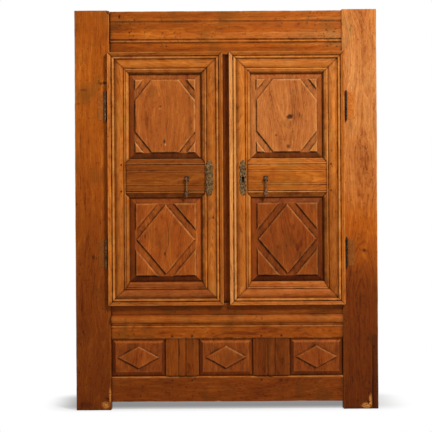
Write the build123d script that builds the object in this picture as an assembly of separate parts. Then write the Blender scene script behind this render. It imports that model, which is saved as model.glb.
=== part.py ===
from build123d import *
import os

# A two-door cupboard on wide board posts. Axes: +X to the right, +Z up, front towards -Y.
# While the pieces are made, the face frame's front plane lies at y = 0. "Ahead" is the distance
# in front of that plane and "behind" the distance back from it, both in millimetres.

# ---- the whole case
overall_width = 1360.0
overall_height = 1800.0
carcass_depth = 480.0

# ---- front frame
post_width = 158.0
post_thickness = 45.0
header_height = 195.0
header_below_post = 6.0
base_gap = 36.5
base_rail_height = 115.0
base_panel_height = 169.5
sill_height = 160.0
centre_post_width = 48.0
rail_tenon_length = 90.0
rail_tenon_shoulder = 22.0
tenon_front = 14.0
tenon_back = 32.0
stub_tenon_length = 30.0
stub_tenon_shoulder = 20.0
tenon_clearance = 0.2

# ---- base panels and the reeded muntins between them
base_panel_left_width = 245.0
base_panel_right_width = 241.0
muntin_left_width = 148.0
muntin_right_width = 164.0
muntin_edge_slope = 18.0
reed_width = 26.0
reed_groove = 8.0
reed_height = 2.5
base_rail_chamfer = 5.0
base_panel_margin = 20.0
rhombus_half_width = 94.5
rhombus_half_height = 52.0

# ---- panels in their grooves
groove_depth = 10.0
groove_width = 8.0
tongue_depth = 7.5
panel_clearance = 0.25

# ---- doors
rim_lap = 10.0
door_clearance = 3.0
rim_clearance = 1.0
rim_width = 32.5
rim_crest = 24.0
door_frame_width = 96.0
door_bottom_width = 106.0
door_frame_back = 16.0
mould_edge = 16.0
mould_crest = 23.5
fillet_height = 18.0
sight_edge_height = 10.0
shoulder_inset = 16.0
mid_rail_top = 1130.0
mid_rail_bottom = 957.0
mid_rail_face = 16.0
door_tenon_length = 60.0
lock_tenon_length = 24.0
door_tenon_shoulder = 15.0
door_tenon_front = 4.0
door_tenon_back = 12.0
panel_margin = 27.0
panel_rise = 8.0
panel_field_rise = 3.5
octagon_cut_width = 74.0
octagon_cut_height = 94.0
octagon_band = 27.0
upper_field_margin = 29.0
lozenge_half_width = 132.0
lozenge_half_height = 158.0
lozenge_band = 29.0

# ---- hinges
barrel_radius = 5.5
hinge_offset = barrel_radius + 3.5
hinge_ahead = barrel_radius + 0.5
barrel_length = 124.0
pin_radius = 2.95
pin_clearance = 0.05
knuckle_gap = 0.3
leaf_thickness = 2.0
leaf_reach = 41.0
leaf_clearance = 0.2
finial_height = 7.0
upper_hinge_height = 1365.0
lower_hinge_height = 704.0

# ---- iron on the doors
plate_from_edge = 61.0
plate_height = 1042.0
plate_half_width = 17.0
plate_half_length = 80.0
plate_thickness = 2.0
plate_seat = 22.0
keyhole_radius = 6.5
keyhole_slot_width = 8.0
keyhole_drop = 20.0
pull_from_edge = 163.3
pull_height = 1038.0
pull_standoff = 11.0
pull_eye_radius = 8.5
pull_eye_thickness = 7.0
pull_pin_radius = 3.0
pull_clearance = 0.06
pull_length = 85.0
pull_leaf_half_width = 10.0
pull_thickness = 5.0
ear_thickness = 3.5
ear_gap = 0.4
staple_plate_thickness = 2.0
shank_size = 6.0
shank_length = 26.0

# ---- lock on the right door, bolt on the left door
lock_width = 76.0
lock_height = 100.0
lock_depth = 26.0
lock_wall = 2.5
lock_bolt_height = 14.0
lock_bolt_thickness = 10.0
lock_bolt_length = 62.0
lock_bolt_raise = 23.0
lock_throw = 14.0
slide_clearance = 0.25
keeper_clearance = 1.5
inner_bolt_width = 12.0
inner_bolt_thickness = 6.0
inner_bolt_length = 212.0
inner_bolt_throw = 18.0
inner_bolt_from_edge = 56.0
guide_height = 20.0
guide_wall = 5.0
guide_spacing = 140.0
knob_radius = 7.0
knob_length = 15.0

# ---- case behind the front
rear_post_width = 110.0
rear_post_thickness = 45.0
back_board_thickness = 18.0
back_board_count = 6
back_board_inset = 30.0
back_board_bottom = 300.0
board_gap = 0.8
back_rail_thickness = 35.0
back_top_rail_height = 90.0
back_bottom_rail_height = 100.0
side_rail_thickness = 30.0
side_rail_setback = 6.0
side_rail_tenon = 22.0
side_top_rail_height = 126.0
side_mid_rail_bottom = 985.0
side_mid_rail_height = 110.0
side_panel_thickness = 14.0
side_panel_field = 4.0
side_panel_margin = 38.0
top_board_thickness = 18.0
top_board_count = 4
floor_board_thickness = 18.0
floor_board_count = 4
shelf_thickness = 22.0
shelf_heights = {"lower": 760.0, "middle": 1040.0, "upper": 1320.0}
shelf_front = 60.0
shelf_clearance = 0.5
cleat_width = 30.0
cleat_height = 25.0

# ---- pegs and nails
peg_radius = 4.6
peg_offset = 45.0
peg_above_joint = 11.0
peg_below_joint = 18.0
door_peg_from_edge = 61.0
door_peg_inset = 27.0
peg_proud = 0.8
frame_peg_length = 38.0
nail_size = 3.0
nail_length = 26.0
nail_head = 11.0
nail_head_height = 2.5
nail_inset = 35.0

# ---- levels and faces that follow from the sizes above
opening_half = overall_width / 2 - post_width
header_top = overall_height - header_below_post
header_bottom = header_top - header_height
base_rail_top = base_gap + base_rail_height
sill_bottom = base_rail_top + base_panel_height
sill_top = sill_bottom + sill_height
door_left = -opening_half - rim_lap
door_right = -centre_post_width / 2 + rim_lap
door_bottom = sill_top - rim_lap
door_top = header_bottom + rim_lap
frame_inset = rim_lap + door_clearance
sight_left = door_left + door_frame_width
sight_right = door_right - door_frame_width
sight_top = door_top - door_frame_width
sight_bottom = door_bottom + door_bottom_width
hinge_x = door_left - hinge_offset
plate_x = door_right - plate_from_edge
rear_post_front = carcass_depth - back_board_thickness - rear_post_thickness
back_board_front = carcass_depth - back_board_thickness
case_top = header_top - top_board_thickness
side_outer = overall_width / 2 - side_rail_setback
side_inner = side_outer - side_rail_thickness
rear_post_inner = overall_width / 2 - rear_post_width
floor_bottom = sill_top - floor_board_thickness


# ---- ways of making a solid
def swept(points, place, push):
    """Solid of a closed outline pushed along a vector. A point in brackets is the middle of an arc."""
    edges = []
    start = points[0]
    middle = None
    for point in points[1:] + points[:1]:
        if isinstance(point, list):
            middle = point[0]
            continue
        if middle is None:
            edges.append(Edge.make_line(place(start), place(point)))
        else:
            edges.append(Edge.make_three_point_arc(place(start), place(middle), place(point)))
        start = point
        middle = None
    return Part() + Solid.extrude(Face(Wire(edges)), push)


def upright(points, edge_x, inward, bottom, top):
    """Vertical moulding: points are (distance in from the edge, ahead); inward is 1 or -1."""
    return swept(points, lambda p: (edge_x + inward * p[0], -p[1], bottom), (0, 0, top - bottom))


def level(points, edge_z, upward, left, right):
    """Horizontal moulding: points are (distance from the edge, ahead); upward is 1 or -1."""
    return swept(points, lambda p: (left, -p[1], edge_z + upward * p[0]), (right - left, 0, 0))


def slab(points, back, front):
    """Flat piece with an outline in x and z, between two distances ahead of the face plane."""
    return swept(points, lambda p: (p[0], -back, p[1]), (0, back - front, 0))


def block(x_span, ahead_span, z_span):
    """Box between two values each of x, of distance ahead and of height."""
    size = [span[1] - span[0] for span in (x_span, ahead_span, z_span)]
    middle = [(span[0] + span[1]) / 2 for span in (x_span, ahead_span, z_span)]
    return Pos(middle[0], -middle[1], middle[2]) * Box(*size)


def behind_block(x_span, behind_span, z_span):
    """Box given by its distances behind the face plane."""
    return block(x_span, (-behind_span[1], -behind_span[0]), z_span)


def turned(radius, length, centre, axis):
    """Cylinder centred on a point (x, ahead, z), along X, Y or Z."""
    turn = {"X": Rot(0, 90, 0), "Y": Rot(90, 0, 0), "Z": Rot(0, 0, 0)}[axis]
    return Pos(centre[0], -centre[1], centre[2]) * turn * Cylinder(radius, length)


def frustum(outer, inner, back, front):
    """Solid that tapers from a rectangle at the back to a smaller one in front: a bevelled margin."""
    def rectangle(span, ahead):
        corners = [(span[0], -ahead, span[2]), (span[1], -ahead, span[2]),
                   (span[1], -ahead, span[3]), (span[0], -ahead, span[3])]
        return Wire.make_polygon(corners, close=True)
    return Part() + Solid.make_loft([rectangle(outer, back), rectangle(inner, front)], ruled=True)


def single(shape):
    """The one solid that a shape holds."""
    solids = shape.solids()
    assert len(solids) == 1, f"expected one solid, found {len(solids)}"
    return solids[0]


def pegs(places, back, front):
    """Whittled eight-sided pegs, each a prism along Y at (x, z)."""
    outline = RegularPolygon(peg_radius, 8)
    depth = front - back
    return [Pos(x, -back, z) * Rot(90, 0, 0) * extrude(outline, depth) for x, z in places]


def left_and_right(solids):
    """The solids and their mirror images in the middle plane."""
    return solids + [solid.mirror(Plane.YZ) for solid in solids]


# ---- moulded outlines: (distance from the edge, distance ahead)
header_profile = [
    (0, -post_thickness), (0, 3), (41, 3), (44, 0.5), (50, 0.5), (53, 2), (123, 6), (126, 3.5),
    (131, 3.5), (132.5, 6), [(136, 8)], (139.5, 6), (141, 3), (144, 2.5), (182, 0.5), (183, 0),
    (header_height, 0), (header_height, -post_thickness)]
sill_profile = [
    (0, -post_thickness), (0, 0), (54, 0), (56, 4), (59, 5), [(74, 13)], (90, 5), (92, 3), (97, 3),
    (98, 0), (102, 0), (103, 3), (107, 3), (110, 0), (sill_height, 0), (sill_height, -post_thickness)]
base_rail_profile = [
    (0, -post_thickness), (0, -base_rail_chamfer), (base_rail_chamfer, 0), (base_rail_height, 0),
    (base_rail_height, -post_thickness)]


# ---- front frame: posts, rails, muntins, base panels, centre post
front_rail_spans = [(base_gap, base_rail_top), (sill_bottom, sill_top), (header_bottom, header_top)]
muntin_spans = {
    "left": (-opening_half + base_panel_left_width,
             -opening_half + base_panel_left_width + muntin_left_width),
    "right": (opening_half - base_panel_right_width - muntin_right_width,
              opening_half - base_panel_right_width)}
base_panel_spans = {
    "left": (-opening_half, muntin_spans["left"][0]),
    "middle": (muntin_spans["left"][1], muntin_spans["right"][0]),
    "right": (muntin_spans["right"][1], opening_half)}
side_rail_spans = [
    (base_gap, base_rail_top), (sill_bottom, sill_top),
    (side_mid_rail_bottom, side_mid_rail_bottom + side_mid_rail_height),
    (case_top - side_top_rail_height, case_top)]
side_panel_spans = [(low[1], high[0]) for low, high in zip(side_rail_spans, side_rail_spans[1:])]
side_middle = (side_inner + side_outer) / 2


def front_tenon(span, grow=0.0):
    """Bar that makes both end tenons of a front rail, or their mortises when grown."""
    reach = opening_half + rail_tenon_length + grow
    heights = (span[0] + rail_tenon_shoulder - grow, span[1] - rail_tenon_shoulder + grow)
    return block((-reach, reach), (-tenon_back - grow, -tenon_front + grow), heights)


def side_tenon(span, grow=0.0):
    """Bar that makes both end tenons of a right side rail, or their mortises when grown."""
    quarter = side_rail_thickness / 4 - grow
    behind = (post_thickness - side_rail_tenon - grow, rear_post_front + side_rail_tenon + grow)
    heights = (span[0] + stub_tenon_shoulder - grow, span[1] - stub_tenon_shoulder + grow)
    return behind_block((side_inner + quarter, side_outer - quarter), behind, heights)


def side_groove(span):
    """Room that a right side panel takes in the posts and rails round it."""
    half = side_panel_thickness / 2
    behind = (post_thickness - groove_depth, rear_post_front + groove_depth)
    return behind_block((side_middle - half, side_middle + half), behind,
                        (span[0] - groove_depth, span[1] + groove_depth))


def base_groove(span):
    """Room that a base panel takes in the rails, muntins and posts round it."""
    return block((span[0] - groove_depth, span[1] + groove_depth),
                 (-tenon_front - groove_width, -tenon_front),
                 (base_rail_top - groove_depth, sill_bottom + groove_depth))


def muntin_tenon(span, grow=0.0):
    """Stub tenons of a base muntin, up into the sill and down into the base rail."""
    shoulder = stub_tenon_shoulder - grow
    return block((span[0] + shoulder, span[1] - shoulder), (-tenon_back - grow, -tenon_front + grow),
                 (base_rail_top - stub_tenon_length - grow, sill_bottom + stub_tenon_length + grow))


def centre_post_tenon(grow=0.0):
    """Stub tenons of the centre post, down into the sill and up into the header."""
    half = centre_post_width / 3 + grow
    return block((-half, half), (-tenon_back - grow, -tenon_front + grow),
                 (sill_top - stub_tenon_length - grow, header_bottom + stub_tenon_length + grow))


def muntin_pegs():
    """Two pegs through each end of each muntin's tenons."""
    heights = (sill_bottom + peg_above_joint, base_rail_top - peg_below_joint)
    centres = [sum(span) / 2 for span in muntin_spans.values()]
    places = [(x + side * peg_offset, z) for x in centres for side in (-1, 1) for z in heights]
    return pegs(places, -frame_peg_length, peg_proud)


def leaf_plate(height, outer, inner, back, grow=0.0):
    """Flat plate of a left hinge leaf between two values of x, in front of a distance ahead."""
    half = barrel_length / 2 + grow
    return block((outer - grow, inner + grow), (back, back + leaf_thickness), (height - half, height + half))


def front_post():
    """Right front post: a wide board from the floor to the top, mortised for rails and grooved."""
    post = block((opening_half, overall_width / 2), (-post_thickness, 0), (0, overall_height))
    for span in front_rail_spans:
        post -= front_tenon(span, tenon_clearance)
    for span in side_rail_spans:
        post -= side_tenon(span, tenon_clearance)
    for span in side_panel_spans:
        post -= side_groove(span)
    post -= base_groove(base_panel_spans["right"])
    for height in (upper_hinge_height, lower_hinge_height):
        post -= mirror(leaf_plate(height, hinge_x - leaf_reach + barrel_radius, hinge_x,
                                  -leaf_thickness / 2, leaf_clearance), about=Plane.YZ)
    return single(post)


def header_rail():
    """Moulded rail over the doors, with mortises for the centre post and a socket for the bolt."""
    rail = level(header_profile, header_top, -1, -opening_half, opening_half)
    rail += front_tenon(front_rail_spans[2])
    rail -= centre_post_tenon(tenon_clearance)
    rail -= inner_bolt_bar(header_bottom, header_bottom + inner_bolt_throw, keeper_clearance)
    return single(rail)


def sill_rail():
    """Moulded rail under the doors, grooved below for the base panels."""
    rail = level(sill_profile, sill_top, -1, -opening_half, opening_half)
    rail += front_tenon(front_rail_spans[1])
    rail -= centre_post_tenon(tenon_clearance)
    return base_frame_cuts(rail)


def base_rail():
    """Plain rail under the base panels, chamfered along its top edge."""
    rail = level(base_rail_profile, base_rail_top, -1, -opening_half, opening_half)
    rail += front_tenon(front_rail_spans[0])
    return base_frame_cuts(rail)


def base_frame_cuts(rail):
    """A rail with the grooves, mortises and peg holes of the base panels and muntins cut in it."""
    for span in muntin_spans.values():
        rail -= muntin_tenon(span, tenon_clearance)
    for span in base_panel_spans.values():
        rail -= base_groove(span)
    for peg in muntin_pegs():
        rail -= peg
    return single(rail)


def base_muntin(span):
    """Short upright in the base, with sloped edges and a bead between two grooves down its face."""
    width = span[1] - span[0]
    half_reed = reed_width / 2
    outline = [
        (0, -post_thickness), (0, -base_rail_chamfer), (muntin_edge_slope, 0),
        (width / 2 - half_reed - reed_groove, 0), (width / 2 - half_reed - reed_groove / 2, -reed_height),
        (width / 2 - half_reed, 0), [(width / 2, reed_height)], (width / 2 + half_reed, 0),
        (width / 2 + half_reed + reed_groove / 2, -reed_height), (width / 2 + half_reed + reed_groove, 0),
        (width - muntin_edge_slope, 0), (width, -base_rail_chamfer), (width, -post_thickness)]
    muntin = upright(outline, span[0], 1, base_rail_top, sill_bottom) + muntin_tenon(span)
    for panel_span in base_panel_spans.values():
        muntin -= base_groove(panel_span)
    for peg in muntin_pegs():
        muntin -= peg
    return single(muntin)


def base_panel(span):
    """Small panel with a bevelled margin and a raised rhombus."""
    tongue_back = -tenon_front - groove_width + panel_clearance
    tongue_front = -tenon_front - panel_clearance
    sight = (span[0], span[1], base_rail_top, sill_bottom)
    inner = (sight[0] + base_panel_margin, sight[1] - base_panel_margin,
             sight[2] + base_panel_margin, sight[3] - base_panel_margin)
    panel = block((sight[0] - tongue_depth, sight[1] + tongue_depth), (tongue_back, tongue_front),
                  (sight[2] - tongue_depth, sight[3] + tongue_depth))
    panel += frustum(sight, inner, tongue_front, tongue_front + panel_rise)
    centre = ((sight[0] + sight[1]) / 2, (sight[2] + sight[3]) / 2)
    panel += slab(rhombus(centre, rhombus_half_width, rhombus_half_height),
                  tongue_front, tongue_front + panel_rise + panel_field_rise)
    return single(panel)


def rhombus(centre, half_width, half_height):
    """Four corners of a rhombus that stands on its point."""
    return [(centre[0] - half_width, centre[1]), (centre[0], centre[1] + half_height),
            (centre[0] + half_width, centre[1]), (centre[0], centre[1] - half_height)]


def centre_post():
    """Fixed upright that both doors close against, with a pocket for the lock's bolt."""
    half = centre_post_width / 2
    post = block((-half, half), (-post_thickness, 0), (sill_top, header_bottom)) + centre_post_tenon()
    post -= lock_bolt_bar(half - lock_throw, half, keeper_clearance)
    return single(post)


# ---- case behind the front: rear posts, sides, back, top, floor and shelves
back_rail_spans = [(sill_bottom, sill_bottom + back_bottom_rail_height),
                   (case_top - back_top_rail_height, case_top)]


def nail(place):
    """Forged nail: a square shank and a tapered head driven flush, along its own -Z."""
    shank = Pos(0, 0, -nail_length / 2) * Box(nail_size, nail_size, nail_length)
    rings = [Wire.make_rect(nail_head, nail_head), Wire.make_rect(nail_size, nail_size)]
    head = Solid.make_loft([rings[0], rings[1].moved(Pos(0, 0, -nail_head_height))], ruled=True)
    return place * (Part() + shank + head)


def back_nails():
    """Two nails through each back board into the rail or post at either end."""
    places = []
    width = 2 * (overall_width / 2 - back_board_inset) / back_board_count
    for number in range(back_board_count):
        left = -overall_width / 2 + back_board_inset + number * width
        for x in (left + nail_inset, left + width - nail_inset):
            places += [(x, sum(span) / 2) for span in back_rail_spans]
    return [nail(Pos(x, carcass_depth, z) * Rot(-90, 0, 0)) for x, z in places]


def top_nails():
    """Two nails through each end of each top board into the side rail under it."""
    width = (back_board_front - post_thickness) / top_board_count
    offsets = [post_thickness + (number + half) * width
               for number in range(top_board_count) for half in (0.25, 0.75)]
    return [nail(Pos(side * side_middle, y, header_top)) for side in (-1, 1) for y in offsets]


def back_rail(span, grow=0.0):
    """Rail between the rear posts, tenoned into both; grown, it gives its own mortises."""
    behind = (back_board_front - back_rail_thickness, back_board_front)
    rail = behind_block((-rear_post_inner, rear_post_inner), behind, span)
    reach = rear_post_inner + back_rail_thickness + grow
    tenon = behind_block((-reach, reach), (behind[0] + stub_tenon_shoulder / 2 - grow, behind[1]
                                           - stub_tenon_shoulder / 2 + grow),
                         (span[0] + stub_tenon_shoulder - grow, span[1] - stub_tenon_shoulder + grow))
    return tenon if grow else rail + tenon


def rear_post():
    """Right rear post, mortised for the side and back rails and grooved for the side panels."""
    post = behind_block((rear_post_inner, overall_width / 2),
                        (rear_post_front, rear_post_front + rear_post_thickness), (0, case_top))
    for span in side_rail_spans:
        post -= side_tenon(span, tenon_clearance)
    for span in side_panel_spans:
        post -= side_groove(span)
    for span in back_rail_spans:
        post -= back_rail(span, tenon_clearance)
    for driven in back_nails() + top_nails():
        post -= driven
    return single(post)


def side_rails():
    """Four rails of the right side, tenoned into the posts in front and behind."""
    rails = []
    for span in side_rail_spans:
        rail = behind_block((side_inner, side_outer), (post_thickness, rear_post_front), span)
        rail += side_tenon(span)
        for panel_span in side_panel_spans:
            rail -= side_groove(panel_span)
        for driven in top_nails():
            rail -= driven
        rails.append(single(rail))
    return rails


def side_panels():
    """Three panels of the right side, each with a raised field on its outer face."""
    panels = []
    half = side_panel_thickness / 2 - panel_clearance
    for span in side_panel_spans:
        behind = (post_thickness - tongue_depth, rear_post_front + tongue_depth)
        heights = (span[0] - tongue_depth, span[1] + tongue_depth)
        panel = behind_block((side_middle - half, side_middle + half), behind, heights)
        margin = tongue_depth + side_panel_margin
        field = behind_block((side_middle, side_middle + half + side_panel_field),
                             (behind[0] + margin, behind[1] - margin),
                             (heights[0] + margin, heights[1] - margin))
        panels.append(single(panel + field))
    return panels


def back_rails():
    """Two rails across the back."""
    rails = []
    for span in back_rail_spans:
        rail = back_rail(span)
        for driven in back_nails():
            rail -= driven
        rails.append(single(rail))
    return rails


def back_boards():
    """Upright boards nailed over the back, side by side."""
    boards = []
    width = 2 * (overall_width / 2 - back_board_inset) / back_board_count
    for number in range(back_board_count):
        left = -overall_width / 2 + back_board_inset + number * width
        board = behind_block((left + board_gap / 2, left + width - board_gap / 2),
                             (back_board_front, carcass_depth), (back_board_bottom, header_top))
        for driven in back_nails():
            board -= driven
        boards.append(single(board))
    return boards


def boards_across(half_length, bottom, thickness, count):
    """Boards laid side by side from the front frame to the back boards, along X."""
    width = (back_board_front - post_thickness) / count
    spans = [(post_thickness + number * width, post_thickness + (number + 1) * width)
             for number in range(count)]
    return [behind_block((-half_length, half_length), (span[0] + board_gap / 2, span[1] - board_gap / 2),
                         (bottom, bottom + thickness)) for span in spans]


def rear_post_room():
    """Space that the two rear posts take, with clearance, for what is notched round them."""
    inner = rear_post_inner - shelf_clearance
    behind = (rear_post_front - shelf_clearance, back_board_front)
    return [behind_block(span, behind, (0, overall_height))
            for span in ((inner, overall_width / 2), (-overall_width / 2, -inner))]


def top_boards():
    """Boards that close the top, nailed down to the side rails."""
    boards = []
    for board in boards_across(side_outer, case_top, top_board_thickness, top_board_count):
        for driven in top_nails():
            board -= driven
        boards.append(single(board))
    return boards


def floor_boards():
    """Boards of the cupboard's floor, level with the top of the sill."""
    half_length = side_inner - shelf_clearance
    boards = boards_across(half_length, floor_bottom, floor_board_thickness, floor_board_count)
    return [single(board - rear_post_room()) for board in boards]


def shelf(height):
    """Shelf with its upper face at a height, notched round the rear posts."""
    half_length = side_inner - shelf_clearance
    board = behind_block((-half_length, half_length), (shelf_front, back_board_front - shelf_clearance),
                         (height - shelf_thickness, height))
    return single(board - rear_post_room())


def cleats():
    """Bearers under the floor and the shelves on the right side, from post to post."""
    undersides = [floor_bottom] + [height - shelf_thickness for height in shelf_heights.values()]
    return [single(behind_block((side_inner - cleat_width, side_inner), (post_thickness, rear_post_front),
                                (underside - cleat_height, underside))) for underside in undersides]


# ---- left door; the right one is its mirror image
mid_height = mid_rail_top - mid_rail_bottom
turn_width = door_frame_width - shoulder_inset
rim_profile = [
    (0, rim_clearance), (0, rim_crest - 2), (2, rim_crest), (15, 19), (17, 16.5), (20, 16.5),
    [(25, 21)], (30, 16.5), (31, 15), (rim_width, 15), (rim_width, rim_clearance)]
mid_half_profile = [
    (0, 0), (0, sight_edge_height), (22, 15), (23, 13), (26, 13), (28, mid_rail_face),
    (50, mid_rail_face), (51, 13.5), (53, 13.5), (54, 15), [(57, 17)], (60, 15), (61, 13.5), (63, 13.5),
    (64, mid_rail_face)]
corner_pegs = [(door_left + door_peg_from_edge, mid_rail_top - door_peg_inset),
               (door_left + door_peg_from_edge, mid_rail_bottom + door_peg_inset)]


def door_front_profile(width):
    """Moulded layer of a stile or rail: rim seat, ovolo, bead, fillet and slope to the sight edge."""
    return [
        (frame_inset, 0), (frame_inset, rim_clearance), (rim_width, rim_clearance),
        (rim_width, mould_edge), (34.5, mould_edge), [(53, mould_crest)], (71.5, mould_edge),
        (72.5, 14.5), (74, 14.5), (76, 16.5), [(78.5, 17.2)], (81, 16.5), (82, 16), (83, 16),
        (84.5, fillet_height), (width - 5, fillet_height), (width, sight_edge_height),
        (width, 0)]


def door_back_profile(width):
    """Plain layer behind the moulding, with the panel's groove in its inner edge."""
    return [(frame_inset, -door_frame_back), (frame_inset, 0), (width - groove_depth, 0),
            (width - groove_depth, -groove_width), (width, -groove_width), (width, -door_frame_back)]


def flipped(points, length):
    """The outline's points in reverse order, measured from the other edge."""
    turned_round = []
    for point in reversed(points):
        corner = point[0] if isinstance(point, list) else point
        moved = (length - corner[0], corner[1])
        turned_round.append([moved] if isinstance(point, list) else moved)
    return turned_round


def across_door(points):
    """Points in x and z on the hinge side, carried over to the meeting side."""
    return [(door_left + door_right - x, z) for x, z in points]


def rail_bar(bottom, top, grow=0.0):
    """Bar that makes both end tenons of a door rail, or their mortises when grown.

    The middle rail's tenon on the meeting side is short, clear of the keyhole.
    """
    meeting_tenon = lock_tenon_length if bottom == mid_rail_bottom else door_tenon_length
    return block((sight_left - door_tenon_length - grow, sight_right + meeting_tenon + grow),
                 (-door_tenon_back - grow, -door_tenon_front + grow),
                 (bottom + door_tenon_shoulder - grow, top - door_tenon_shoulder + grow))


door_rail_spans = [(door_bottom + frame_inset, sight_bottom), (mid_rail_bottom, mid_rail_top),
                   (sight_top, door_top - frame_inset)]


def door_pegs(grow_ahead=0.0):
    """Pegs through the hinge stile and the middle rail's tenon."""
    return pegs(corner_pegs, -door_frame_back, mould_crest - peg_proud + grow_ahead)


def stile(meeting):
    """Upright of the left door, mitred to the rails in front and mortised for them behind."""
    outline = [
        (door_left, door_bottom), (door_left, door_top), (sight_left, sight_top),
        (sight_left, mid_rail_top), (sight_left - shoulder_inset, mid_rail_top - shoulder_inset),
        (sight_left - shoulder_inset, mid_rail_bottom + shoulder_inset), (sight_left, mid_rail_bottom),
        (sight_left, sight_bottom), (door_left + turn_width, door_bottom + turn_width)]
    edge, inward = (door_right, -1) if meeting else (door_left, 1)
    front = upright(door_front_profile(door_frame_width), edge, inward, door_bottom, door_top)
    front = front & slab(across_door(outline) if meeting else outline, 0, rim_crest)
    back = upright(door_back_profile(door_frame_width), edge, inward,
                   door_bottom + frame_inset, door_top - frame_inset)
    post = front + back
    for span in door_rail_spans:
        post -= rail_bar(*span, tenon_clearance)
    if meeting:
        post -= block((plate_x - plate_half_width, plate_x + plate_half_width), (plate_seat, rim_crest),
                      (plate_height - plate_half_length, plate_height + plate_half_length))
    else:
        for peg in door_pegs(rim_crest):
            post -= peg
    return single(post)


def door_rail(span, bottom_rail):
    """Top or bottom rail of the left door, mitred to the stiles in front and tenoned behind."""
    width = door_bottom_width if bottom_rail else door_frame_width
    edge, upward = (door_bottom, 1) if bottom_rail else (door_top, -1)
    outline = [
        (door_left, edge), (door_right, edge), (door_right - turn_width, edge + upward * turn_width),
        (sight_right, edge + upward * width), (sight_left, edge + upward * width),
        (door_left + turn_width, edge + upward * turn_width)]
    front = level(door_front_profile(width), edge, upward, door_left, door_right)
    front = front & slab(outline, 0, rim_crest)
    back = level(door_back_profile(width), edge, upward, sight_left, sight_right)
    return single(front + back + rail_bar(*span))


def mid_rail():
    """Reeded middle rail, whose shoulders run over the stiles to the ovolo's inner edge."""
    reach = shoulder_inset
    outline = [
        (sight_left, mid_rail_top), (sight_right, mid_rail_top), (sight_right + reach, mid_rail_top - reach),
        (sight_right + reach, mid_rail_bottom + reach), (sight_right, mid_rail_bottom),
        (sight_left, mid_rail_bottom), (sight_left - reach, mid_rail_bottom + reach),
        (sight_left - reach, mid_rail_top - reach)]
    profile = mid_half_profile + flipped(mid_half_profile, mid_height)
    front = level(profile, mid_rail_top, -1, door_left, door_right) & slab(outline, 0, rim_crest)
    grooved = [
        (0, -door_frame_back), (0, -groove_width), (groove_depth, -groove_width), (groove_depth, 0),
        (mid_height - groove_depth, 0), (mid_height - groove_depth, -groove_width),
        (mid_height, -groove_width), (mid_height, -door_frame_back)]
    back = level(grooved, mid_rail_top, -1, sight_left, sight_right)
    rail = front + back + rail_bar(*door_rail_spans[1])
    for peg in door_pegs(rim_crest):
        rail -= peg
    return single(rail - pull_shank())


def rim_strips():
    """Four mitred strips of the rim moulding, which laps over the opening's edge all round."""
    left, right = door_left, door_right
    inner_left, inner_right = left + rim_width, right - rim_width
    inner_bottom, inner_top = door_bottom + rim_width, door_top - rim_width
    upright_outline = [(left, door_bottom), (left, door_top), (inner_left, inner_top),
                       (inner_left, inner_bottom)]
    hinge_strip = upright(rim_profile, left, 1, door_bottom, door_top)
    hinge_strip = hinge_strip & slab(upright_outline, 0, rim_crest)
    for height in (upper_hinge_height, lower_hinge_height):
        hinge_strip -= leaf_plate(height, hinge_x, hinge_x + leaf_reach, rim_clearance, leaf_clearance)
    strips = [hinge_strip,
              upright(rim_profile, right, -1, door_bottom, door_top)
              & slab(across_door(upright_outline), 0, rim_crest)]
    for edge, upward, inner in ((door_bottom, 1, inner_bottom), (door_top, -1, inner_top)):
        outline = [(left, edge), (right, edge), (inner_right, inner), (inner_left, inner)]
        strips.append(level(rim_profile, edge, upward, left, right) & slab(outline, 0, rim_crest))
    return [single(strip) for strip in strips]


def field_of(sight, margin):
    """Rectangle of a panel's field: left, right, bottom and top inside the bevelled margin."""
    return (sight[0] + margin, sight[1] - margin, sight[2] + margin, sight[3] - margin)


def corner_pieces(field, reach_x, reach_z):
    """Four triangles in the corners of a rectangle, with legs of the lengths given."""
    left, right, bottom, top = field
    return [[(x, z), (x - side * reach_x, z), (x, z - rise * reach_z)]
            for x, side in ((left, -1), (right, 1)) for z, rise in ((bottom, -1), (top, 1))]


def door_panel(sight, field, raised):
    """Panel with a tongue all round, a bevelled margin and raised figures on its field."""
    tongue = (-groove_width + panel_clearance, -panel_clearance)
    panel = block((sight[0] - tongue_depth, sight[1] + tongue_depth), tongue,
                  (sight[2] - tongue_depth, sight[3] + tongue_depth))
    panel += frustum(sight, field, tongue[1], tongue[1] + panel_rise)
    for outline in raised:
        panel += slab(outline, tongue[1], tongue[1] + panel_rise + panel_field_rise)
    return single(panel)


def upper_panel():
    """Upper panel: a raised octagon and four small raised corners outside a sunk band."""
    sight = (sight_left, sight_right, mid_rail_top, sight_top)
    field = field_of(sight, panel_margin)
    left, right, bottom, top = field
    octagon = [(left, bottom + octagon_cut_height), (left, top - octagon_cut_height),
               (left + octagon_cut_width, top), (right - octagon_cut_width, top),
               (right, top - octagon_cut_height), (right, bottom + octagon_cut_height),
               (right - octagon_cut_width, bottom), (left + octagon_cut_width, bottom)]
    slant = (octagon_cut_width ** 2 + octagon_cut_height ** 2) ** 0.5
    left_over = 1 - octagon_band * slant / (octagon_cut_width * octagon_cut_height)
    corners = corner_pieces(field, octagon_cut_width * left_over, octagon_cut_height * left_over)
    return door_panel(sight, field, [octagon] + corners)


def lower_panel():
    """Lower panel: a raised rhombus and four raised corners outside a sunk band."""
    sight = (sight_left, sight_right, sight_bottom, mid_rail_bottom)
    field = field_of(sight, panel_margin)
    centre = ((field[0] + field[1]) / 2, (field[2] + field[3]) / 2)
    half_width = (field[1] - field[0]) / 2
    half_height = (field[3] - field[2]) / 2
    slope = (lozenge_half_width ** -2 + lozenge_half_height ** -2) ** 0.5
    line = 1 + lozenge_band * slope
    reach_x = half_width - lozenge_half_width * (line - half_height / lozenge_half_height)
    reach_z = half_height - lozenge_half_height * (line - half_width / lozenge_half_width)
    raised = [rhombus(centre, lozenge_half_width, lozenge_half_height)]
    return door_panel(sight, field, raised + corner_pieces(field, reach_x, reach_z))


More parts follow.
